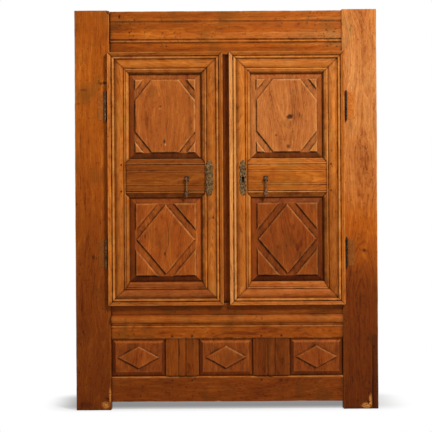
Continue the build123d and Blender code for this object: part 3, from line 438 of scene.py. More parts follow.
def softened(heights, reach):
    """Heights on a grid, averaged along rows and then along columns by a bell curve."""
    taps = np.arange(-int(3 * reach), int(3 * reach) + 1)
    weight = np.exp(-0.5 * (taps / reach) ** 2)
    weight = weight / weight.sum()
    for axis in (0, 1):
        padded = np.pad(heights, [(len(taps) // 2,) * 2 if a == axis else (0, 0) for a in (0, 1)], "edge")
        heights = sum(w * np.take(padded, np.arange(heights.shape[axis]) + k, axis)
                      for k, w in enumerate(weight))
    return heights


def figure_heights(x, z, figures, unsure):
    """0 to 1 over a panel: an S-curve of the distance inside the deepest figure, moved by a noise.

    A figure's bulge pushes the edge between its second and third corners out in a low curve.
    """
    raised = 0 * x
    for corners, bulge in figures:
        deep = depth_inside(x, z, corners) + unsure
        if bulge:
            a, b = np.asarray(corners[1], float), np.asarray(corners[2], float)
            middle, half = (a + b) / 2, np.linalg.norm(a - b) / 2
            away = np.hypot(x - middle[0], z - middle[1])
            deep = deep + bulge * np.clip(1 - (away / half) ** 2, 0, 1)
        raised = np.maximum(raised, ease(-FIGURE_SLOPE, FIGURE_SLOPE, deep - FIGURE_SLOPE / 2))
    return raised


def panel_faces(at, count):
    """Front quads of a grid of points, the wall round its edge, and the fan that closes its back."""
    rim = np.concatenate([at[0, :-1], at[:-1, -1], at[-1, :0:-1], at[:0:-1, 0]])
    ring = count + np.arange(len(rim))
    walls = np.stack([rim, np.roll(rim, -1), np.roll(ring, -1), ring], -1)[:, ::-1]
    fan = np.stack([ring, np.roll(ring, -1), np.full(len(rim), count + len(rim))], -1)[:, ::-1]
    return rim, [sheet_faces(*at.shape), walls, fan]


def carved(name, sight, back, front, rise, margin, figures, body, node, finish, seed, tone,
           step=1.5, places=(), tools=0.7, mirrored=False, cracks=(), soil_and_shade=(0.55, -0.15, 1.3, 0.25),
           joint=None, turned=False):
    """Panel whose face is a height over x and z: a sloping margin, then raised figures.

    Height = front + rise x (distance in from the edge / margin, up to 1) + FIGURE_LIFT x
    figure_heights, less what marks and cracks take off, with noises for the tools' traces. A crack
    is (points of its path, half width, stain, depth). Turned, the panel lies on the left side: x is
    how far it is behind the face and the height points to the left. Wear and dirt are where the
    height stands over or under its own blur. Slopes that face up and right, towards the key light,
    get a painted highlight in the wear mark, and those that face down and left get painted shade in
    the dirt mark. A dark strip along the edge is painted shade cast by the frame. The soil numbers
    say how much darker the left, right, bottom and top bevels are: painted shade by the way each
    bevel faces the light, and painted light where a number is below 0.
    Two boards meet at x = joint.
    """
    left, right, bottom, top = sight
    x, z = np.meshgrid(np.arange(left - GROOVE_LAP, right + GROOVE_LAP + step / 2, step),
                       np.arange(bottom - GROOVE_LAP, top + GROOVE_LAP + step / 2, step))
    zero = 0 * x
    sides = np.stack([x - left, right - x, z - bottom, top - z])
    edge = sides.min(0)
    unsure = 0.45 * rough(x, z, zero, (22, 22, 1), seed + 3)
    height = front + rise * np.clip((edge + unsure) / margin, 0, 1)
    height = height + TOP_EASE * ease(-1.0, 0.6, edge - margin + unsure) * (1 if figures else 4)
    raised = figure_heights(x, z, figures, unsure)
    height = height + FIGURE_LIFT * raised - TOP_EASE * raised
    sunk_band = (1 - raised) * ease(-2, 2, edge - margin)
    height = height + tools * sunk_band * drift(x + z * 0.35, z, zero, (7, 11, 1), seed + 9)
    height = height + 0.16 * rough(x, z, zero, (34, 60, 1), seed + 11)
    height = height + 0.10 * drift(x, z, zero, (9, 70, 1), seed)
    stain, sunk = patches(np.stack([x.ravel(), zero.ravel(), z.ravel()], -1), places)
    for path, wide, dark, deep in cracks:
        share = np.exp(-(off_path(x, z, path).ravel() / wide) ** 2)
        stain, sunk = np.clip(stain + dark * share, -1, 1), sunk + deep * share
    height = height - sunk.reshape(x.shape)
    fine, broad = height - softened(height, 2.2 / step), height - softened(height, 6.5 / step)
    speck = rough(x, z, zero, (17, 30, 1), seed + 21)
    wear_and_highlight = np.clip(fine / 1.1, 0, 1) * (0.65 + 0.8 * speck) + np.clip(broad / 3.0, 0, 1) * 0.15
    dirt_and_shade = np.clip(-fine / 1.1, 0, 1) * 0.75 + np.clip(-broad / 3.0, 0, 1) * 0.35
    # The dark strip along the panel's edge is painted shade cast by the frame; the sunk band gets patchy
    # dirt.
    dirt_and_shade = dirt_and_shade + 0.9 * np.exp(-np.clip(edge, 0, None) / 3.0) + 0.45 * sunk_band * (0.5 + speck)
    # Painted light and shade: slopes facing up and right, towards the key light, get a painted highlight, and
    # slopes facing down and left get painted shade.
    upward, rightward = np.gradient(height, step)
    toward_key_light = 0.7 * (rightward if mirrored else -rightward) - 0.7 * upward
    wear_and_highlight = np.clip(np.clip(wear_and_highlight, 0, 1) + ease(0.3, 1.2, toward_key_light) * (0.7 + 0.6 * speck), 0, 1)
    # Painted shade on the bevels, side by side as each faces the light (paler where a number is below 0), and
    # on slopes that face down and left.
    bevel = 1 - ease(margin - 3, margin + 1, edge)
    shade = zero
    for share, way in zip(soil_and_shade, sides):
        shade = shade - share * bevel * (way == edge)
    dirt_and_shade = dirt_and_shade + 0.9 * ease(0.3, 1.2, -toward_key_light) - 0.35 * shade * (0.7 + 0.6 * speck)
    grid = np.stack([x.ravel(), height.ravel(), z.ravel()], -1)
    rim, faces = panel_faces(np.arange(x.size).reshape(x.shape), x.size)
    middle_x = (left + right) / 2
    spots = np.concatenate([grid, grid[rim] * [1, 0, 1] + [0, back, 0],
                            [[middle_x, back, (bottom + top) / 2]]])
    behind = np.ones(len(spots) - len(grid))
    grain = (spots - [middle_x, 0, 0]) / 1000 + seed_place(seed)
    if joint is not None:
        grain[:, 0] += np.where(spots[:, 0] > joint, 1.02, 0.04)
    if turned:
        spots = np.stack([-spots[:, 1], -spots[:, 0], spots[:, 2]], -1)
    if mirrored:
        spots[:, 0] *= -1
    marks = {"grain": grain, "wear_and_highlight": np.concatenate([wear_and_highlight.ravel(), behind * 0]),
             "dirt_and_shade": np.clip(np.concatenate([dirt_and_shade.ravel(), behind * 0.25]), 0, MAX_PANEL_DIRT_AND_SHADE),
             "stain": np.concatenate([stain, behind * 0]),
             "tone": tone + np.concatenate([shade.ravel(), behind * 0])}
    make_piece(name, spots, faces, body, node, finish, marks)


# ---------------------------------------------------------------- finishes
def paint(red, green, blue):
    """A colour given as screen values from 0 to 255, turned into the linear values nodes take."""
    share = np.array([red, green, blue]) / 255
    lit = np.where(share <= 0.04045, share / 12.92, ((share + 0.055) / 1.055) ** 2.4)
    return (*lit, 1.0)


def put(tree, kind, wires=(), **settings):
    """New node with its settings, and its inputs wired or set by name or number."""
    node = tree.nodes.new(kind)
    for key, value in settings.items():
        setattr(node, key, value)
    for key, value in dict(wires).items():
        if isinstance(value, bpy.types.NodeSocket):
            tree.links.new(value, node.inputs[key])
        else:
            node.inputs[key].default_value = value
    return node


def calc(tree, operation, *values, clamp=False):
    """Output of a Math node."""
    return put(tree, "ShaderNodeMath", enumerate(values), operation=operation, use_clamp=clamp).outputs[0]


def product(tree, first, second, clamp=False):
    """Two values multiplied."""
    return calc(tree, "MULTIPLY", first, second, clamp=clamp)


def centred(tree, value):
    """A value from 0 to 1, moved to run from -0.5 to 0.5."""
    return calc(tree, "SUBTRACT", value, 0.5)


def layered(tree, total, layers):
    """A value with others added to it, each times its strength."""
    for part, strength in layers:
        total = calc(tree, "MULTIPLY_ADD", part, strength, total)
    return total


def reckon(tree, operation, *values):
    """Output of a Vector Math node."""
    return put(tree, "ShaderNodeVectorMath", enumerate(values), operation=operation).outputs[0]


def cloud(tree, vector, scale, detail=2.0, roughness=0.5, distortion=0.0, kept="Fac"):
    """Noise from 0 to 1; three scales stretch it, one along each axis."""
    if np.ndim(scale):
        vector, scale = reckon(tree, "MULTIPLY", vector, scale), 1.0
    return put(tree, "ShaderNodeTexNoise", {"Vector": vector, "Scale": scale, "Detail": detail,
               "Roughness": roughness, "Distortion": distortion}).outputs[kept]


def cells(tree, vector, scale):
    """Scattered cells: the distance to the nearest cell's middle, its random colour and its place."""
    return put(tree, "ShaderNodeTexVoronoi", {"Vector": vector, "Scale": scale, "Randomness": 1.0},
               voronoi_dimensions="3D").outputs


def between(tree, value, low, high, start=0.0, end=1.0):
    """A value's place between low and high, eased, as a number from start to end."""
    return put(tree, "ShaderNodeMapRange", {"Value": value, 1: low, 2: high, 3: start, 4: end},
               interpolation_type="SMOOTHSTEP").outputs[0]


def blend(tree, share, first, second):
    """Two colours mixed."""
    return put(tree, "ShaderNodeMix", {0: share, 6: first, 7: second}, data_type="RGBA").outputs[2]


def parted(tree, colour):
    """The red, green and blue of a colour."""
    return put(tree, "ShaderNodeSeparateColor", {0: colour}).outputs


def vector_of(tree, *parts):
    """A vector put together from its parts, those left out being 0."""
    return put(tree, "ShaderNodeCombineXYZ", enumerate(parts)).outputs[0]


def effect(name, inputs, outputs):
    """Empty node group with named sockets; returns the tree, its input node and its output node."""
    tree = bpy.data.node_groups.new(name, "ShaderNodeTree")
    kinds = {"v": "NodeSocketVector", "f": "NodeSocketFloat", "c": "NodeSocketColor"}
    for way, sockets in (("INPUT", inputs), ("OUTPUT", outputs)):
        for label, kind in sockets.items():
            tree.interface.new_socket(label, in_out=way, socket_type=kinds[kind])
    return tree, tree.nodes.new("NodeGroupInput").outputs, tree.nodes.new("NodeGroupOutput").inputs


RINGS_PER_METRE = 168.0
KNOT_EDGE = (0.050, 0.026)
KNOT_REACH = (0.34, 0.02)
DARKEN_BY_CHANNEL = (1.0, 1.18, 1.30)


def knots(tree, grain, wanted):
    """Knots where a random cell is chosen: their core, the wood round them, and how it is pulled aside.

    Cells are columns that run in from the face, long along the grain.
    """
    around = reckon(tree, "MULTIPLY", grain, (5.2, 1.0, 3.4))
    flat = reckon(tree, "MULTIPLY", around, (1.0, 0.0, 1.0))
    cell = cells(tree, flat, 1.0)
    chosen = calc(tree, "LESS_THAN", parted(tree, cell["Color"])[0], wanted)
    ragged = calc(tree, "ADD", cell["Distance"], product(tree, centred(tree, cloud(tree, grain, 90.0)), 0.04))
    core = product(tree, between(tree, ragged, *KNOT_EDGE), chosen)
    halo = product(tree, between(tree, ragged, *KNOT_REACH), chosen)
    offset = reckon(tree, "SUBTRACT", flat, cell["Position"])
    aside = put(tree, "ShaderNodeSeparateXYZ", {0: offset}).outputs[0]
    return core, halo, product(tree, product(tree, aside, halo), -0.16)


def rings(tree, grain, lean, pull):
    """Distance from the log's wandering middle, counted in growth rings.

    The middle is midway between whole metres; lean is a slow noise that bends the log.
    """
    place = put(tree, "ShaderNodeSeparateXYZ", {0: grain}).outputs
    ripple = cloud(tree, grain, (34.0, 34.0, 7.0), 2.0, 0.55)
    beside, above = (centred(tree, calc(tree, "FRACT", place[k])) for k in (0, 1))
    beside = calc(tree, "ADD", beside, calc(tree, "MULTIPLY_ADD", centred(tree, lean[0]), 0.16, pull))
    above = calc(tree, "MULTIPLY_ADD", centred(tree, lean[1]), 0.15, above)
    radius = calc(tree, "SQRT", calc(tree, "ADD", product(tree, beside, beside), product(tree, above, above)))
    return product(tree, calc(tree, "MULTIPLY_ADD", centred(tree, ripple), 0.016, radius), RINGS_PER_METRE)


def build_grain():
    """Grain of old pine.

    Growth rings are a wave of the distance from the log's wandering middle, so a flat-sawn face
    shows pointed arches. Knots part the rings; clouds, pores, specks and nicks lie over them.
    """
    tree, given, made = effect("pine_grain", {"Grain": "v", "Knots": "f", "Lines": "f"},
                               {"Tone": "f", "Knot": "f", "Pits": "f", "Relief": "f", "Hue": "f"})
    grain = given["Grain"]
    knot, halo, pull = knots(tree, grain, given["Knots"])
    lean = parted(tree, cloud(tree, grain, (1.2, 1.2, 1.5), 1.0, kept="Color"))
    count = rings(tree, grain, lean, pull)
    phase = calc(tree, "FRACT", count)
    wave = product(tree, between(tree, phase, 0.25, 0.86), between(tree, phase, 1.0, 0.88))
    year = centred(tree, cloud(tree, vector_of(tree, product(tree, count, 0.43)), 1.0, 1.0))
    bent = reckon(tree, "ADD", grain, vector_of(tree, calc(tree, "MULTIPLY_ADD", lean[0], 0.04, pull)))
    lines = cloud(tree, bent, (330.0, 150.0, 7.0), 2.0, 0.6)
    pores = cloud(tree, bent, (1150.0, 700.0, 60.0), 2.0, 0.6)
    clouds = cloud(tree, grain, (15.0, 15.0, 3.6), 5.0, 0.62, 0.5)
    small = cloud(tree, grain, (76.0, 76.0, 24.0), 4.0, 0.65)
    tone = product(tree, calc(tree, "SUBTRACT", wave, 0.40), product(tree, given["Lines"], -0.34))
    tone = layered(tree, tone, ((year, 0.75), (centred(tree, lines), 0.50), (centred(tree, pores), 0.45),
                                (centred(tree, clouds), 1.1), (centred(tree, small), 0.8)))
    holes = cells(tree, grain, 42.0)
    rare = calc(tree, "GREATER_THAN", parted(tree, holes["Color"])[1], 0.62)
    hole = product(tree, between(tree, holes["Distance"], 0.085, 0.05), rare)
    nicks = between(tree, cloud(tree, grain, (150.0, 150.0, 70.0)), 0.63, 0.71)
    streak = between(tree, cloud(tree, bent, (300.0, 200.0, 16.0)), 0.66, 0.78)
    pits = calc(tree, "MAXIMUM", hole, product(tree, nicks, 0.62))
    pits = calc(tree, "MAXIMUM", pits, product(tree, streak, 0.38))
    relief = layered(tree, product(tree, lines, 0.30), (
        (pores, 0.16), (small, 0.55), (wave, -0.12), (pits, -0.8), (knot, -0.35)))
    for label, value in (("Tone", calc(tree, "ADD", tone, 0.5, clamp=True)),
                         ("Knot", calc(tree, "MAXIMUM", knot, product(tree, halo, 0.22))), ("Pits", pits),
                         ("Hue", cloud(tree, grain, (8.0, 8.0, 6.0), 3.0, 0.6, 0.8)), ("Relief", relief)):
        tree.links.new(value, made[label])
    return tree


def build_handling():
    """Wear, soil and age over a ground colour: rubbed edges, dark recesses, bare wood in the chips.

    The age mark above 0 pales the ground, partly as painted light; below 0 it is the number of times
    that the colour is halved, partly as painted shade. The wear and dirt marks hold painted highlights
    and painted shade beside real wear and dirt.
    """
    tree, given, made = effect(
        "handling", {"Ground": "c", "Place": "v", "Wear_and_highlight": "f", "Dirt_and_shade": "f", "Stain": "f", "Pits": "f",
                     "Worn_and_lit": "c", "Grime_and_shade": "c", "Pale_and_lit": "c", "Age": "f"}, {"Colour": "c", "Roughness": "f"})
    age_and_lighting, stain = given["Age"], given["Stain"]
    patchy = cloud(tree, given["Place"], 26.0, 4.0, 0.65)
    fine = cloud(tree, given["Place"], 150.0, 2.0, 0.6)
    rubbed_and_lit = product(tree, given["Wear_and_highlight"], between(tree, patchy, 0.32, 0.62, 0.25, 1.0))
    colour = blend(tree, product(tree, age_and_lighting, 0.80, clamp=True), given["Ground"], given["Pale_and_lit"])
    colour = blend(tree, product(tree, rubbed_and_lit, 0.78), colour, given["Worn_and_lit"])
    soil_and_shade = product(tree, given["Dirt_and_shade"], between(tree, patchy, 0.66, 0.34, 0.70, 1.25))
    soil_and_shade = product(tree, soil_and_shade, between(tree, fine, 0.75, 0.30, 0.70, 1.10))
    soiled_and_shaded = product(tree, soil_and_shade, 0.78, clamp=True)
    marked = calc(tree, "MAXIMUM", product(tree, given["Pits"], 0.75), stain)
    marked = product(tree, marked, 0.93, clamp=True)
    colour = blend(tree, calc(tree, "MAXIMUM", soiled_and_shaded, marked), colour, given["Grime_and_shade"])
    halvings = calc(tree, "MINIMUM", age_and_lighting, 0.0)
    shade = vector_of(tree, *(calc(tree, "POWER", 2.0, product(tree, halvings, strength))
                              for strength in DARKEN_BY_CHANNEL))
    colour = reckon(tree, "MULTIPLY", colour, shade)
    bare = product(tree, calc(tree, "MINIMUM", stain, 0.0), -1.0, clamp=True)
    bare = product(tree, bare, between(tree, fine, 0.36, 0.56, 0.15, 0.9))
    tree.links.new(blend(tree, bare, colour, given["Worn_and_lit"]), made["Colour"])
    sheen = calc(tree, "MULTIPLY_ADD", patchy, 0.16, calc(tree, "MULTIPLY_ADD", soil_and_shade, 0.28, 0.40))
    tree.links.new(calc(tree, "MULTIPLY_ADD", rubbed_and_lit, -0.06, sheen, clamp=True), made["Roughness"])
    return tree


GRAIN = build_grain()
HANDLING = build_handling()


def finish_of(name):
    """New material with an empty Principled shader."""
    material = bpy.data.materials.new(name)
    material.use_nodes = True
    tree = material.node_tree
    return material, tree, tree.nodes["Principled BSDF"]


def mark(tree, label, part="Fac"):
    """A value kept at the piece's points."""
    return put(tree, "ShaderNodeAttribute", attribute_name=label).outputs[part]


def wire_up(tree, shader, colour, roughness, height, strength, distance):
    """Colour, roughness and a bump of the height given, led to the shader."""
    bump = put(tree, "ShaderNodeBump", {"Strength": strength, "Distance": distance, "Height": height})
    for key, value in (("Base Color", colour), ("Roughness", roughness), ("Normal", bump.outputs[0])):
        tree.links.new(value, shader.inputs[key])


def wood(name, colours, knotty=0.30, lines=0.75, shine=0.07, turned=None):
    """Waxed old pine, in its light, middle, dark, olive, worn and grimy colours.

    With turned, the grain comes from the place in the frame, not from the marks. The worn colour
    also paints highlights and the grimy colour shade, where the marks hold painted light and shade.
    """
    material, tree, shader = finish_of(name)
    light, middle, dark, olive, worn, grime_and_shade = (paint(*colour) for colour in colours)
    place = put(tree, "ShaderNodeTexCoord").outputs["Object"]
    grain = reckon(tree, "MULTIPLY", place, turned) if turned else mark(tree, "grain", "Vector")
    pattern = put(tree, "ShaderNodeGroup", {"Grain": grain, "Knots": knotty, "Lines": lines},
                  node_tree=GRAIN).outputs
    tone = pattern["Tone"]
    ground = blend(tree, between(tree, tone, 0.0, 0.5), dark, middle)
    ground = blend(tree, between(tree, tone, 0.5, 1.0), ground, light)
    ground = blend(tree, between(tree, pattern["Hue"], 0.52, 0.70, 0.0, 0.50), ground, olive)
    ground = blend(tree, product(tree, pattern["Knot"], 0.85), ground, grime_and_shade)
    pale_and_lit = blend(tree, calc(tree, "SUBTRACT", 1.0, tone), PALE_AND_LIT, ground)
    handled = put(tree, "ShaderNodeGroup", {
        "Ground": ground, "Place": place, "Wear_and_highlight": mark(tree, "wear_and_highlight"), "Dirt_and_shade": mark(tree, "dirt_and_shade"),
        "Stain": mark(tree, "stain"), "Pits": pattern["Pits"], "Worn_and_lit": worn, "Grime_and_shade": grime_and_shade,
        "Pale_and_lit": pale_and_lit, "Age": mark(tree, "tone")}, node_tree=HANDLING).outputs
    wire_up(tree, shader, handled["Colour"], handled["Roughness"], pattern["Relief"], 0.75, 0.0011)
    shader.inputs["Specular IOR Level"].default_value = shine
    return material


def iron(name, light, dark, rust, metal, shine=0.4):
    """Hammered iron under a brown skin: pits in two sizes, dark hollows and rust in patches.

    The mark tone is how many times the colour doubles.
    """
    material, tree, shader = finish_of(name)
    light, dark, rust = (paint(*colour) for colour in (light, dark, rust))
    place = put(tree, "ShaderNodeTexCoord").outputs["Object"]
    hammered = cloud(tree, place, 105.0, 2.0, 0.5, 0.5)
    pits = cloud(tree, place, 300.0, 3.0, 0.65)
    patchy = cloud(tree, place, 70.0, 3.0, 0.6)
    worn = calc(tree, "MULTIPLY_ADD", hammered, 0.80, product(tree, pits, 0.28))
    colour = blend(tree, between(tree, worn, 0.44, 0.66), dark, light)
    colour = blend(tree, between(tree, patchy, 0.50, 0.66, 0.0, 0.75), colour, rust)
    rubbed_and_lit = product(tree, mark(tree, "wear_and_highlight"), between(tree, pits, 0.45, 0.62, 0.15, 0.70))
    colour = blend(tree, rubbed_and_lit, colour, light)
    colour = blend(tree, product(tree, mark(tree, "dirt_and_shade"), 0.80), colour, dark)
    share = calc(tree, "POWER", 2.0, mark(tree, "tone"))
    colour = put(tree, "ShaderNodeVectorMath", {0: colour, "Scale": share}, operation="SCALE").outputs[0]
    height = calc(tree, "MULTIPLY_ADD", pits, 0.55, product(tree, hammered, 1.3))
    wire_up(tree, shader, colour, between(tree, pits, 0.3, 0.7, 0.66, 0.42), height, 0.85, 0.0016)
    shader.inputs["Metallic"].default_value = metal
    shader.inputs["Specular IOR Level"].default_value = shine
    return material


# The pale colour shows where the tone is above 0, partly as painted light; the grime colour darkens dirt and
# knots and paints shade.
PALE_AND_LIT = paint(230, 168, 100)
GRIME_AND_SHADE = (46, 18, 5)
CASE_COLOURS = ((172, 104, 54), (134, 74, 34), (90, 46, 20), (108, 72, 38), (182, 124, 76), (32, 17, 9))
FRAME_WOOD = wood("frame_wood", ((200, 111, 30), (168, 82, 14), (116, 48, 6), (120, 70, 16),
                                 (210, 136, 62), GRIME_AND_SHADE), lines=0.55)
DOOR_WOOD = wood("door_wood", ((206, 120, 38), (174, 90, 20), (122, 53, 9), (160, 98, 26),
                               (214, 142, 70), GRIME_AND_SHADE), knotty=0.18)
PANEL_WOOD = wood("panel_wood", ((198, 114, 44), (168, 87, 30), (116, 51, 13), (132, 76, 26),
                                 (220, 150, 84), (56, 31, 13)), knotty=0.34, lines=0.6)
LOW_WOOD = wood("low_panel_wood", ((196, 107, 36), (166, 80, 22), (114, 46, 9), (130, 70, 20),
                                   (218, 143, 74), (52, 28, 11)), knotty=0.34, lines=0.6)
CASE_WOOD = wood("case_wood", CASE_COLOURS, knotty=0.45, shine=0.05)
CLEAT_WOOD = wood("cleat_wood", CASE_COLOURS, knotty=0.0, shine=0.05, turned=(0.4, 1.0, 1.0))
PEG_WOOD = wood("peg_wood", ((92, 46, 20), (66, 30, 12), (40, 18, 8), (60, 32, 14), (130, 78, 40),
                             (20, 10, 6)), knotty=0.0, turned=(1.0, 0.2, 1.0))
IRON = iron("hammered_iron", (122, 86, 52), (22, 12, 6), (74, 38, 16), metal=0.22, shine=0.2)
PLATE_IRON = iron("plate_iron", (142, 108, 64), (48, 31, 15), (98, 64, 28), metal=0.12, shine=0.12)
PULL_IRON = iron("pull_iron", (150, 106, 66), (22, 12, 6), (90, 48, 22), metal=0.12, shine=0.2)
LEAF_IRON = iron("leaf_iron", (184, 104, 40), (164, 86, 26), (170, 90, 28), metal=0.0, shine=0.06)
LOCK_IRON = iron("lock_iron", (104, 82, 62), (40, 28, 20), (96, 54, 28), metal=0.5)


# ---------------------------------------------------------------- the face frame
def straight(low, high):
    """Square ends for a carried section."""
    return lambda u, h: (low + 0 * u, high + 0 * u)


def moulding(outline, step, reach, *coarse):
    """Section of a moulding: its outline in even steps, blurred so that no edge stays sharp."""
    return blurred(sampled(outline, step, *coarse), reach)


def member(name, section, origin, across, along, length, node, **more):
    """Part of the face frame, with square ends."""
    carried(name, section, origin, across, AHEAD, along, straight(*length), "root", node, "frame_wood",
            FRAME_WOOD, **more)


def split_at(t):
    """How far across the right post its long split runs: a slow noise about 133 mm."""
    return 133 + 1.8 * drift(0 * t, 0 * t, t, (1, 1, 60), 4)


def split_stain_and_shade(u, t):
    """Stain of the right post's split: a dark line from the foot up, and a duller strip beyond it."""
    # The dark line is partly grime and partly painted shade in the crack.
    line = split_at(t)
    low = 0.95 * np.exp(-((u - line) / 2.2) ** 2) * ease(150, 110, t) * ease(14, 30, t)
    beyond = 0.42 * ease(line, line + 2, u) * ease(345, 325, t)
    return low + beyond + 0.5 * np.exp(-((u - line) / 1.6) ** 2) * ease(340, 320, t)


def split_edge(u, h, t):
    """A long split near the right post's outer edge: the wood beyond it stands a little back."""
    line = split_at(t)
    crack = 6.0 * np.exp(-((u - line) / 2.0) ** 2) + 1.3 * ease(line, line + 3, u)
    return u, h - np.where(h > OUT_OF_SIGHT, ease(345, 250, t) * crack, 0)


def notched_head(u, h, t):
    """A nick out of the left post's top corner beside the header."""
    return u, h - np.where(h > -30, 9 * ease(146, 152, u) * ease(1781, 1786, t), 0)


def bolt_socket(u, h, t):
    """Socket in the header's underside, for the left door's upright bolt."""
    inside = (u > 192) & (np.abs(h + 22) < 8) & (np.abs(t + 70) < 12)
    return np.where(inside, u - 21, u), h


def bolt_pocket(u, h, t):
    """Pocket in the middle post's right side, for the bolt of the lock."""
    inside = (u > 45) & (np.abs(h + 29) < 11) & (np.abs(t - 1065) < 14)
    return np.where(inside, u - 17, u), h


POST = oblong(POST_WIDE, THICK, 2.0, -1.0, 1.5)
# The posts' tones run darker towards the floor, partly painted shade, and the right post is paler up high
# than the left, painted light from the upper right.
member("post_left", POST, (-680, 0, 0), X, UP, (0, TALL), "front_post_left", seed=11,
       tone=[(0, -1.4), (250, -1.25), (700, -0.8), (1000, -0.28), (1450, 0.02), (1800, -0.22)],
       step=6, fine=[(1776, 1798, 1.5), (0, 110, 2.5), (1420, 1490, 2.5)], rounded=(4.0, 3.0),
       loss=0.9, chips=1.3, wave=0.6, reshape=notched_head, joint_dirt=(7, 0), end_wear=0.3,
       places=[(-556, 1472, 22, 6, 0.6, 0.2), (-640, 1442, 16, 6, 0.5, 0.1),
               (-664, 1380, 10, 5, 0.55, 0.1), (-620, 1425, 20, 30, 0.15, 0.0),
               (-600, 690, 7, 11, 0.75, 0.2), (-655, 1210, 4, 60, 0.35, 0.3),
               (-528, 70, 5, 34, -1.0, 2.0), (-548, 22, 18, 14, -0.9, 2.5),
               (-540, 52, 9, 7, 0.7, 1.0), (-640, 25, 30, 16, 0.4, 1.5),
               (-530, 1792, 6, 8, 0.8, 0.6)]
       + flecks(-558, 1458, 20, 28, 12, 4, 0.8, 1.0) + flecks(-600, 900, 70, 700, 36, 3.5, 0.65, 2.0))
member("post_right", POST, (522, 0, 0), X, UP, (0, TALL), "front_post_right", seed=12,
       tone=[(0, -1.75), (300, -1.55), (560, -1.2), (690, -0.35), (1000, 0.35), (1500, 0.75),
             (1800, 0.4)],
       step=6, fine=[(0, 130, 2.5)], rounded=(4.0, 3.5), loss=1.0, chips=1.4, wave=0.7,
       reshape=split_edge, stained=split_stain_and_shade, joint_dirt=(7, 0), end_wear=0.3,
       places=[(619, 714, 9, 7, 0.95, 0.5), (644, 40, 7, 22, -1.0, 2.0), (626, 16, 22, 11, -1.0, 3.0),
               (636, 30, 8, 6, 0.8, 2.0), (600, 480, 5, 40, 0.45, 0.2), (560, 1290, 6, 26, 0.4, 0.1)]
       + flecks(640, 190, 30, 150, 16, 4, 0.6, 3.0) + flecks(600, 900, 60, 500, 24, 3.5, 0.6, 5.0))

HEADER_OUTLINE = [
    (0, -45), (0, 3), (41, 3), (44, 0.5), (50, 0.5), (53, 2), (123, 6), (126, 3.5), (131, 3.5),
    (132.5, 6), [(136, 8)], (139.5, 6), (141, 3), (144, 2.5), (182, 0.5), (183, 0), (195, 0), (195, -45)]
SILL_OUTLINE = [
    (0, -45), (0, 0), (54, 0), (56, 4), (59, 5), [(74, 13)], (90, 5), (92, 3), (97, 3), (98, 0), (102, 0),
    (103, 3), (107, 3), (110, 0), (160, 0), (160, -45)]
BASE_OUTLINE = [(0, -45), (0, -5), (5, 0), (115, 0), (115, -45)]
# The header is paler towards its right end, partly painted light; of its bands, the grooves beside the bead
# are dark, partly grime and partly painted shade, and the bead is pale, a painted highlight.
member("header", moulding(HEADER_OUTLINE, 1.3, 0.6, HIDDEN_BELOW), (0, 0, HEADER_TOP), -UP, X,
       (-518.5, 521.8), "header_rail", seed=13,
       tone=[(-518, -0.45), (-380, -0.15), (0, -0.1), (300, 0.05), (520, 0.2)],
       step=4, fine=[(-88, -52, 2)], loss=0.55, chips=0.9, joint_dirt=(9, 6), reshape=bolt_socket,
       bands=[(0, 4, 0.5, 0.3, -0.2), (4, 30, 0, 0, -0.12), (41, 52, 0.25, 0, -0.1),
              (53, 84, 0, 0, -0.25), (96, 120, 0, 0, 0.2), (125, 131, 0.5, 0, -0.1),
              (133, 139, 0, 0.2, -0.1), (141, 147, 0.4, 0, -0.1), (160, 182, 0.1, 0, -0.1)],
       places=flecks(-440, 1740, 60, 44, 34, 4.5, 0.85, 6.0) + flecks(-250, 1665, 50, 34, 24, 4, 0.8, 7.0)
       + flecks(0, 1700, 500, 90, 70, 4, 0.7, 10.0) + flecks(370, 1755, 55, 28, 20, 4, 0.75, 8.0)
       + flecks(470, 1665, 40, 45, 26, 4, 0.8, 9.0))
# The sill's bands: the top strip under the doors is painted shade cast by them, the steps under the torus and
# at the bottom edge are painted shade, and two thin pale lines are painted highlights.
member("sill", moulding(SILL_OUTLINE, 1.3, 0.6, HIDDEN_BELOW), (0, 0, SILL[1]), -UP, X, (-521.6, 521.6),
       "sill_rail", seed=14, tone=-0.33, step=6, loss=0.6, chips=0.9, joint_dirt=(7, 7),
       bands=[(0, 55, 0.12, 0, -0.6), (60, 84, 0, 0, 0.02), (90, 98, 0.4, 0, -0.05),
              (100.5, 102.5, 0, 0.4, 0.1), (106, 109, 0, 0.4, 0.1), (111, 160, 0, 0, -0.05),
              (155, 160, 0.7, 0, 0)],
       places=flecks(-440, 352, 60, 18, 18, 4, 0.6, 11.0) + flecks(100, 400, 380, 60, 40, 4, 0.6, 12.0))
# The base board's top arris is a painted highlight, lit from above; its dark tone is partly painted shade
# near the floor.
member("base_board", moulding(BASE_OUTLINE, 2.0, 0.9, HIDDEN_BELOW), (0, 0, BASE_RAIL[1]), -UP, X,
       (-521.5, 521.5), "base_rail", seed=15, tone=-1.12, step=5, loss=1.3, chips=2.2, wave=1.6,
       joint_dirt=(7, 7), bands=[(0.5, 5, -0.6, 1.0, 0.75)],
       places=flecks(0, 95, 500, 50, 60, 4, 0.7, 13.0)
       + [(-350, 37, 30, 3, -0.8, 3), (-40, 38, 14, 3, -0.9, 2), (330, 37, 22, 3, -0.7, 2)])

